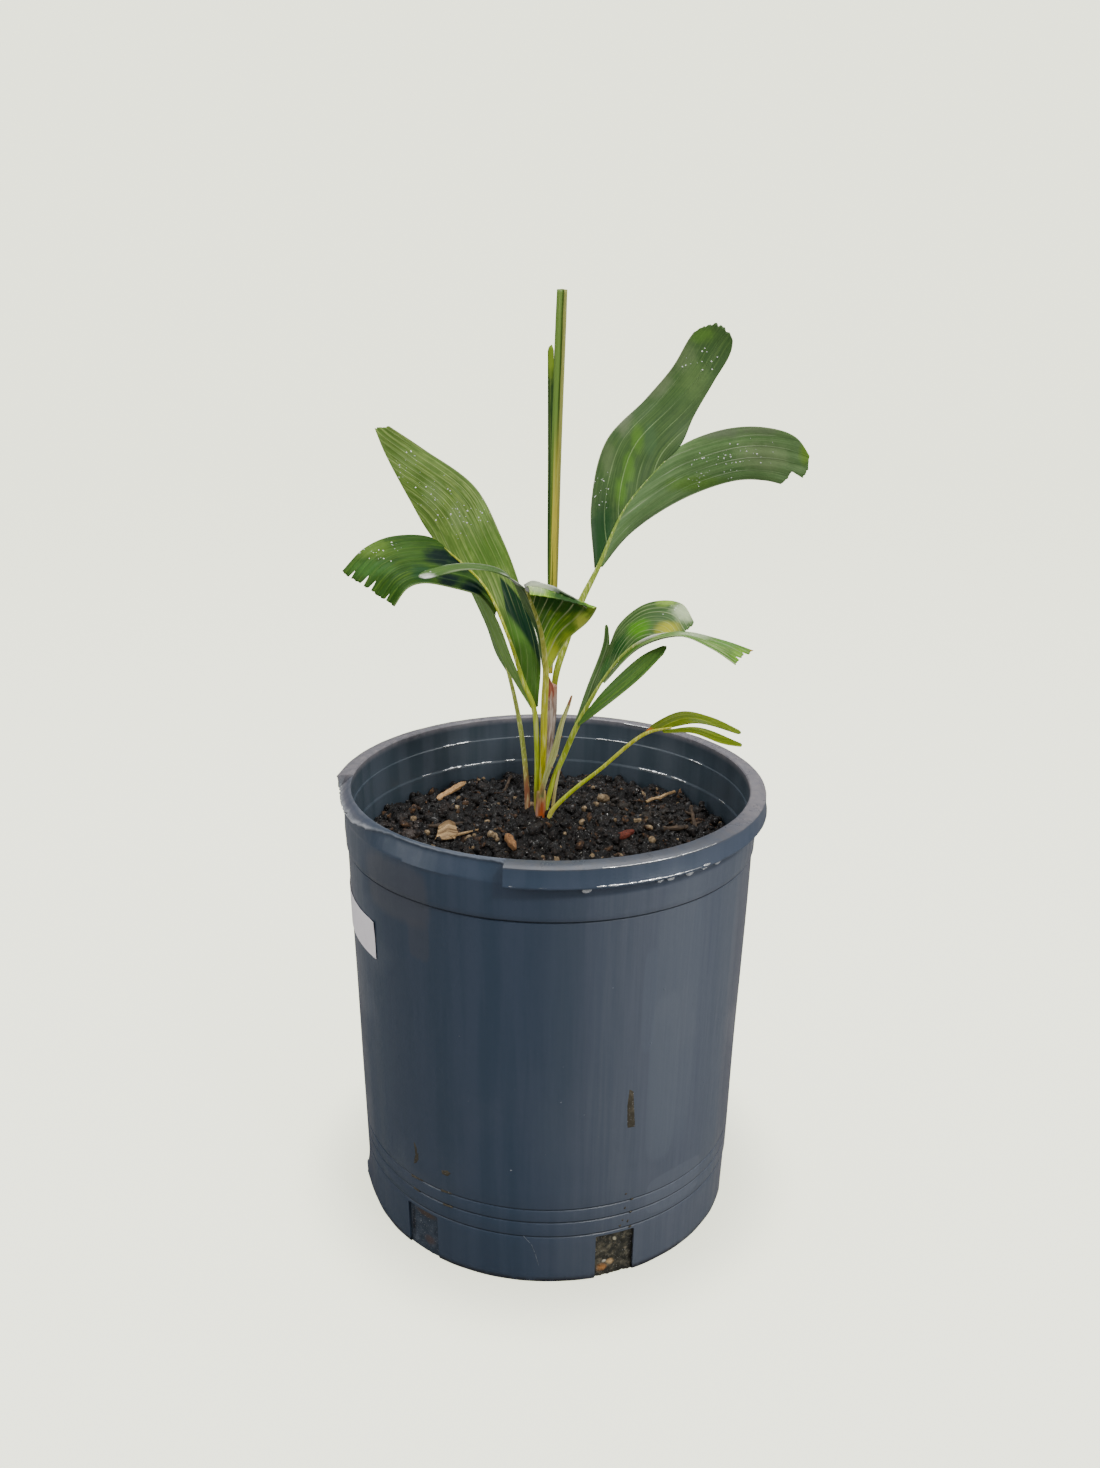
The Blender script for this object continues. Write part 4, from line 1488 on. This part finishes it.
def soil_height(x, y):
    mound = math.exp(-((x - PLANT_FOOT[0]) ** 2 + (y - PLANT_FOOT[1]) ** 2)
                     / (2 * SOIL_MOUND_RADIUS ** 2))
    clump = math.exp(-((x - CLUMP[0]) ** 2 + (y - CLUMP[1]) ** 2) / 9.0 ** 2)
    cavity = math.exp(-((x - CLUMP[0] - 5) ** 2 + (y - CLUMP[1] + 5) ** 2) / 5.0 ** 2)
    level = SOIL_EDGE_HEIGHT + SOIL_MOUND * mound
    lump = wobble(x / 9, y / 9) * 1.7 + wobble(x / 3.6, y / 3.6, 40 / 3.6) * 0.85
    clods = 8.0 * abs(wobble(x / 9, y / 9, 3)) + 4.4 * abs(wobble(x / 4, y / 4, 5))
    clods += 2.2 * abs(wobble(x / 1.9, y / 1.9, 8)) + 0.7 * wobble(x / 0.9, y / 0.9, 9)
    flake = ((-50.5, -8), (19, 9), 27)
    for (chip_x, chip_y), size, _ in [*CHIPS.values(), *TWIGS.values(), PEBBLE, flake]:
        away = math.hypot(x - chip_x, y - chip_y)
        clods *= 0.35 + 0.65 * min(away / (size[0] * 0.45 + 2), 1)
    height = level + lump + clods - 3.2 + 9.0 * clump - 9.0 * cavity
    foot = math.hypot(x - PLANT_FOOT[0], y - PLANT_FOOT[1])
    calm = min(max((foot - 7) / 14, 0), 1)
    return PLANT_FOOT_HEIGHT + clods * 0.4 * (1 - calm) + (height - PLANT_FOOT_HEIGHT) * calm


def make_soil():
    """The soil: a closed body whose top is broken up into clods and crumbs."""
    columns = 340
    radii = list(np.linspace(SOIL_RADIUS, 1.2, 112))
    turns = np.linspace(0, math.tau, columns, endpoint=False)
    side = ((96.0, FLOOR_THICKNESS + 0.3), (98.2, 6.4), (101.4, 150.0), (SOIL_RADIUS, 190))
    points, faces = [], []
    for radius, height in side:
        for turn in turns:
            points.append((radius * math.cos(turn), radius * math.sin(turn), height))
    for radius in radii:
        for turn in turns:
            x, y = radius * math.cos(turn), radius * math.sin(turn)
            points.append((x, y, soil_height(x, y)))
    rings = len(side) + len(radii)
    for ring in range(rings - 1):
        for index in range(columns):
            a = ring * columns + index
            b = ring * columns + (index + 1) % columns
            faces.append((a, b, b + columns, a + columns))
    points += [(0, 0, FLOOR_THICKNESS + 0.3), (0, 0, soil_height(0, 0))]
    last = (rings - 1) * columns
    for index in range(columns):
        following = (index + 1) % columns
        faces.append((following, index, len(points) - 2))
        faces.append((last + index, last + following, len(points) - 1))
    made = add_mesh("soil_surface", (points, faces))
    under = len(side) * columns
    top = [0.0] * under + [1.0] * (len(points) - under)
    top[-2] = 0.0
    set_attribute(made.data, "top", top)
    made.data.shade_smooth()
    piece(made, MATERIALS["soil"], ["soil"])
    return made


def chip_height(name):
    low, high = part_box(name)
    return (low.z + high.z) / 2 / MM


def bark_chip(name, material, seed, hollow=0.0, tilt=0.0, point=0.35):
    """A split flake of bark: a flat loft with long fibres, broken ends and a dished face."""
    (x, y), (length, width, height), turn = CHIPS[name]
    stations, sides = 46, 30
    points, faces, uv = [], [], []
    for station in range(stations):
        s = station / (stations - 1)
        along = (s - 0.5) * length
        end = min(s, 1 - s) * 2
        wide = width / 2 * (min(end / point, 1) ** 0.6) * (0.86 + 0.35 * wobble(s * 5, seed))
        thick = height / 2 * (min(end / 0.2, 1) ** 0.5) * (0.85 + 0.4 * wobble(s * 4, seed + 5))
        bow = 0.9 * wobble(s * 2.2, seed + 9) + hollow * 0.4 * math.cos(math.pi * (s - 0.5))
        for side in range(sides):
            turned = math.tau * side / sides
            flat_x = math.copysign(abs(math.cos(turned)) ** 0.7, math.cos(turned))
            flat_z = math.copysign(abs(math.sin(turned)) ** 0.7, math.sin(turned))
            fibre = 0.45 * wobble(turned * 3.5, s * 2.2, seed) + 0.3 * wobble(turned * 9, s * 5, seed)
            dish = hollow * (1 - flat_x ** 2) * (flat_z > 0)
            ragged = 0.9 * wobble(turned * 4, seed, 3) * (1 - min(end / 0.15, 1))
            points.append((along + ragged * 2.0, wide * flat_x * (1 + 0.2 * fibre),
                           thick * flat_z + fibre * 0.55 - dish + bow))
            uv.append((side / sides * 2, s * 3))
    for station in range(stations - 1):
        for side in range(sides):
            a = station * sides + side
            b = station * sides + (side + 1) % sides
            faces.append((b, a, a + sides, b + sides))
    faces.append(tuple(range(sides)))
    faces.append(tuple(range((stations - 1) * sides, stations * sides))[::-1])
    made = add_mesh(name + "_detail", (points, faces))
    set_uv(made.data, uv)
    place = (Matrix.Translation((x * MM, y * MM, (chip_height(name) + 0.4) * MM))
             @ Matrix.Rotation(math.radians(turn), 4, "Z") @ Matrix.Rotation(math.radians(tilt), 4, "Y"))
    made.data.transform(place)
    made.data.shade_smooth()
    piece(made, material, [name])


def twig(name, material, seed, stubs=()):
    """A bent stick with knots. Each stub is its share of the length, its reach, its turn."""
    (x, y), (length, diameter), turn = TWIGS[name]
    heading = math.radians(turn)
    ahead = np.array((math.cos(heading), math.sin(heading), 0.0))
    across = np.array((-math.sin(heading), math.cos(heading), 0.0))
    middle = np.array((x, y, chip_height(name) + 0.3))
    path, radii = [], []
    for share in np.linspace(0, 1, 9):
        bend = across * length * 0.05 * wobble(share * 3.0, seed)
        rise = np.array((0, 0, 0.7 * wobble(share * 2.4, seed, 4)))
        path.append(tuple(middle + ahead * (share - 0.5) * length * 0.96 + bend + rise))
        radii.append(diameter / 2 * (0.92 + 0.45 * wobble(share * 6.1, seed, 7)))
    piece(leaf_stalk(name + "_detail", path, radii, sides=16, step=0.7), material, [name])
    for number, (share, reach, way) in enumerate(stubs):
        start = np.array(path[round(share * 8)])
        side = np.array((math.cos(math.radians(way)), math.sin(math.radians(way)), 0.25))
        route = [tuple(start), tuple(start + side * reach * 0.5), tuple(start + side * reach)]
        stub = leaf_stalk(f"{name}_stub_{number}", route,
                          (diameter * 0.36, diameter * 0.3, diameter * 0.18), sides=10, step=0.6)
        piece(stub, material)


def make_pebble(material):
    (x, y), size, turn = PEBBLE
    bm = bmesh.new()
    bmesh.ops.create_icosphere(bm, subdivisions=4, radius=0.5)
    for vert in bm.verts:
        spot = vert.co * 2.4
        push = 1 + 0.30 * wobble(spot.x, spot.y, spot.z) + 0.06 * wobble(*(spot * 4))
        vert.co = Vector((vert.co.x * size[0], vert.co.y * size[1], vert.co.z * size[2])) * push
    place = Matrix.Translation((x, y, chip_height("pebble"))) @ Matrix.Rotation(
        math.radians(turn), 4, "Z")
    bmesh.ops.transform(bm, matrix=place, verts=bm.verts)
    made = add_mesh("pebble_detail", bm)
    made.data.shade_smooth()
    piece(made, material, ["pebble"])


def curled_flake(material):
    """The crumpled, hollow flake on the left, with a splinter that sticks out to its right."""
    base = chip_height("bark_flake_left")
    scoop = leaf_blade("flake_scoop", ((-60, -14, base - 0.6), (-54.5, -15.5, base + 0.4),
                                       (-47.5, -13.5, base + 0.6)),
                       ((-58.5, -5, base + 3.4), (-53.5, -2.5, base + 6.0), (-48.5, -4, base + 3.8)),
                       rows=50, columns=36, arch=-2.2, ripple=1.4, fold=0.25, fold_pitch=1.7,
                       teeth=0.08, rounding=0.12, seed=41, thickness=0.9)
    piece(scoop, material, ["bark_flake_left"])
    splinter = leaf_stalk("flake_splinter", ((-52, -12.5, base + 0.8), (-46, -11, base + 1.6),
                                             (-37.5, -8.5, base + 3.0)), (0.9, 0.8, 0.35), sides=10,
                          step=0.8)
    piece(splinter, material)


def make_loose_pieces():
    orange = wood_material("orange_bark", hue(142, 104, 64), hue(222, 180, 128))
    tan = wood_material("tan_bark", hue(92, 70, 44), hue(196, 164, 120))
    brown = wood_material("brown_bark", hue(98, 64, 40), hue(172, 128, 84))
    red = wood_material("red_bark", hue(60, 24, 18), hue(128, 58, 40))
    dark = wood_material("dark_twig", hue(40, 32, 26), hue(88, 72, 56))
    grey = wood_material("grey_twig", hue(74, 64, 54), hue(134, 118, 98))
    bark_chip("bark_chip_back_left", orange, 3, hollow=0.8, tilt=-6, point=0.25)
    bark_chip("bark_chip_front", brown, 11, hollow=0.3, tilt=5, point=0.7)
    bark_chip("bark_bit_right", red, 15, hollow=0.3, point=0.7)
    curled_flake(tan)
    twig("twig_left", dark, 2)
    twig("twig_right_back", tan, 4, ((0.2, 5, -30),))
    twig("twig_right", dark, 6, ((0.25, 4, 20), (0.6, 5, 150)))
    twig("twig_right_front", dark, 8, ((0.6, 3, 80),))
    twig("twig_dark_back", dark, 10)
    make_pebble(MATERIALS["grain"])


def scatter_tree(name, subdivisions):
    """Geometry Nodes: lumps strewn over a surface where its attribute allows them."""
    tree = bpy.data.node_groups.new(name, "GeometryNodeTree")
    face = tree.interface
    face.new_socket("Geometry", in_out="INPUT", socket_type="NodeSocketGeometry")
    for label, kind, value in (("Mask", "NodeSocketString", "top"), ("Density", NUMBER, 1000.0),
                               ("Smallest", NUMBER, 0.001), ("Largest", NUMBER, 0.003),
                               ("Flatness", NUMBER, 0.8), ("Roughness", NUMBER, 0.35),
                               ("Tumble", NUMBER, 0.5), ("Stretch", NUMBER, 1.0),
                               ("Seed", "NodeSocketInt", 1),
                               ("Material", "NodeSocketMaterial", None)):
        socket = face.new_socket(label, in_out="INPUT", socket_type=kind)
        if value is not None:
            socket.default_value = value
    face.new_socket("Geometry", in_out="OUTPUT", socket_type="NodeSocketGeometry")
    nodes, links = tree.nodes, tree.links
    start = nodes.new("NodeGroupInput").outputs
    end = nodes.new("NodeGroupOutput").inputs

    def product(first, second):
        made = nodes.new("ShaderNodeMath")
        made.operation = "MULTIPLY"
        links.new(first, made.inputs[0])
        if isinstance(second, float):
            made.inputs[1].default_value = second
        else:
            links.new(second, made.inputs[1])
        return made.outputs[0]

    mask = nodes.new("GeometryNodeInputNamedAttribute")
    mask.data_type = "FLOAT"
    links.new(start["Mask"], mask.inputs["Name"])
    spread = nodes.new("GeometryNodeDistributePointsOnFaces")
    links.new(start["Geometry"], spread.inputs["Mesh"])
    links.new(product(mask.outputs["Attribute"], start["Density"]), spread.inputs["Density"])
    links.new(start["Seed"], spread.inputs["Seed"])
    shapes = nodes.new("GeometryNodeJoinGeometry")
    for variant in range(5):
        ball = nodes.new("GeometryNodeMeshIcoSphere")
        ball.inputs["Radius"].default_value = 0.5
        ball.inputs["Subdivisions"].default_value = subdivisions
        field = nodes.new("ShaderNodeTexNoise")
        field.noise_dimensions = "4D"
        field.inputs["W"].default_value = variant * 3.7 + 1.3
        field.inputs["Scale"].default_value = 1.8
        field.inputs["Detail"].default_value = 2.0
        centre = nodes.new("ShaderNodeVectorMath")
        centre.operation = "SUBTRACT"
        centre.inputs[1].default_value = (0.5, 0.5, 0.5)
        links.new(field.outputs["Color"], centre.inputs[0])
        push = nodes.new("ShaderNodeVectorMath")
        push.operation = "SCALE"
        links.new(centre.outputs[0], push.inputs[0])
        links.new(product(start["Roughness"], 3.0), push.inputs["Scale"])
        shift = nodes.new("GeometryNodeSetPosition")
        links.new(ball.outputs["Mesh"], shift.inputs["Geometry"])
        links.new(push.outputs[0], shift.inputs["Offset"])
        wrap = nodes.new("GeometryNodeGeometryToInstance")
        links.new(shift.outputs[0], wrap.inputs[0])
        links.new(wrap.outputs[0], shapes.inputs[0])
    put = nodes.new("GeometryNodeInstanceOnPoints")
    put.inputs["Pick Instance"].default_value = True
    links.new(spread.outputs["Points"], put.inputs["Points"])
    links.new(shapes.outputs[0], put.inputs["Instance"])
    links.new(spread.outputs["Rotation"], put.inputs["Rotation"])
    chance = nodes.new("FunctionNodeRandomValue")
    chance.data_type = "FLOAT"
    links.new(start["Seed"], chance.inputs["Seed"])
    skew = nodes.new("ShaderNodeMath")
    skew.operation = "POWER"
    skew.inputs[1].default_value = 2.2
    links.new(chance.outputs[1], skew.inputs[0])
    size = nodes.new("ShaderNodeMapRange")
    links.new(skew.outputs[0], size.inputs["Value"])
    links.new(start["Smallest"], size.inputs["To Min"])
    links.new(start["Largest"], size.inputs["To Max"])
    bulk = nodes.new("ShaderNodeCombineXYZ")
    links.new(product(size.outputs[0], start["Stretch"]), bulk.inputs[0])
    links.new(size.outputs[0], bulk.inputs[1])
    links.new(product(size.outputs[0], start["Flatness"]), bulk.inputs[2])
    links.new(bulk.outputs[0], put.inputs["Scale"])
    turn = nodes.new("FunctionNodeRandomValue")
    turn.data_type = "FLOAT_VECTOR"
    turn.inputs[0].default_value = (-1.0, -1.0, -6.28)
    turn.inputs[1].default_value = (1.0, 1.0, 6.28)
    roll = nodes.new("ShaderNodeVectorMath")
    roll.operation = "SCALE"
    links.new(turn.outputs[0], roll.inputs[0])
    links.new(start["Tumble"], roll.inputs["Scale"])
    spin = nodes.new("GeometryNodeRotateInstances")
    links.new(put.outputs["Instances"], spin.inputs["Instances"])
    links.new(roll.outputs[0], spin.inputs["Rotation"])
    real = nodes.new("GeometryNodeRealizeInstances")
    links.new(spin.outputs[0], real.inputs[0])
    smooth = nodes.new("GeometryNodeSetShadeSmooth")
    links.new(real.outputs[0], smooth.inputs["Geometry"])
    paint = nodes.new("GeometryNodeSetMaterial")
    links.new(smooth.outputs[0], paint.inputs["Geometry"])
    links.new(start["Material"], paint.inputs["Material"])
    links.new(paint.outputs[0], end["Geometry"])
    return tree


def scatter(name, host, tree, slot, material, **values):
    """Strew lumps over the host's surface and keep them as one plain mesh."""
    made = bpy.data.objects.new(name, host.data.copy())
    bpy.context.scene.collection.objects.link(made)
    strew = made.modifiers.new("strew", "NODES")
    strew.node_group = tree
    named = {item.name: item.identifier for item in tree.interface.items_tree
             if item.item_type == "SOCKET" and item.in_out == "INPUT"}
    for key, value in values.items():
        strew[named[key]] = value
    strew[named["Material"]] = material
    freeze(made)
    made.data.name = name
    piece(made, material)


def strew_soil(soil):
    crumbs = scatter_tree("soil_lumps", 1)
    lumps = scatter_tree("soil_clods", 2)
    scatter("soil_crumbs", soil, crumbs, "soil", MATERIALS["crumb"], Density=90000.0,
            Smallest=0.0008, Largest=0.0040, Flatness=0.8, Roughness=0.34, Seed=3)
    scatter("soil_clumps", soil, lumps, "soil", MATERIALS["crumb"], Density=12000.0,
            Smallest=0.0026, Largest=0.0085, Flatness=0.8, Roughness=0.38, Seed=12)
    scatter("soil_bark_bits", soil, crumbs, "wood", MATERIALS["bark"], Density=12000.0,
            Smallest=0.0010, Largest=0.0052, Flatness=0.4, Roughness=0.4, Stretch=1.5, Seed=8)
    scatter("soil_fibres", soil, crumbs, "wood", MATERIALS["bark"], Density=9000.0,
            Smallest=0.0003, Largest=0.0010, Flatness=1.0, Roughness=0.2, Stretch=10.0, Seed=21)
    scatter("soil_grains", soil, lumps, "stone", MATERIALS["grain"], Density=2900.0,
            Smallest=0.0022, Largest=0.0046, Flatness=0.85, Roughness=0.14, Seed=5)
    scatter("soil_specks", soil, crumbs, "stone", MATERIALS["speck"], Density=15000.0,
            Smallest=0.0003, Largest=0.0014, Flatness=0.7, Roughness=0.2, Seed=6)


GROUPS = {"blotches": blotch_group(), "veins": vein_group(), "patch": patch_group(),
          "wall_patch": wall_patch_group()}
MATERIALS = {}
STREWN = {"drops": scatter_tree("water_drops", 2)}


def main():
    make_camera()
    make_studio()
    make_ground()
    MATERIALS["pot"] = pot_material()
    MATERIALS["paper"] = paper_material()
    MATERIALS["soil"] = earth_material("damp_soil", hue(6, 6, 7), hue(36, 32, 31), wet=0.6)
    MATERIALS["crumb"] = earth_material("soil_crumb", hue(7, 6, 7), hue(56, 47, 42), wet=0.7, patches=(
        ((-78, 2, 200), (20, 34, 12), hue(84, 73, 68), 0.6),
        ((-60, 30, 205), (14, 12, 10), hue(70, 60, 56), 0.5),
        ((46, 30, 205), (30, 22, 14), hue(76, 68, 58), 0.3),
        ((20, 52, 210), (20, 14, 12), hue(62, 54, 48), 0.5),
        ((10, -62, 205), (60, 20, 12), hue(66, 58, 52), 0.35)))
    MATERIALS["bark"] = earth_material("bark_crumb", hue(44, 30, 22), hue(128, 96, 66), wet=0.25)
    MATERIALS["grain"] = earth_material("pale_grain", hue(112, 94, 70), hue(194, 170, 136), 0.2)
    MATERIALS["speck"] = earth_material("white_speck", hue(150, 148, 140), hue(220, 218, 210), 0.2)
    MATERIALS["water"] = water_material("clear_water", (0.9, 0.93, 0.96, 1), 0.5, 0.2)
    MATERIALS["glint"] = water_material("standing_water", (0.96, 0.98, 1.0, 1), 0.0, 0.75)
    MATERIALS["dew"] = water_material("leaf_dew", (0.93, 0.96, 0.92, 1), 0.2, 0.35)
    make_pot()
    make_notch_panels()
    make_wall_marks()
    make_water()
    make_label()
    soil = make_soil()
    strew_soil(soil)
    make_loose_pieces()
    make_sheaths()
    tall_frond()
    left_frond()
    front_frond()
    arching_frond()
    low_frond()
    back_frond()
    spear_leaf()


main()
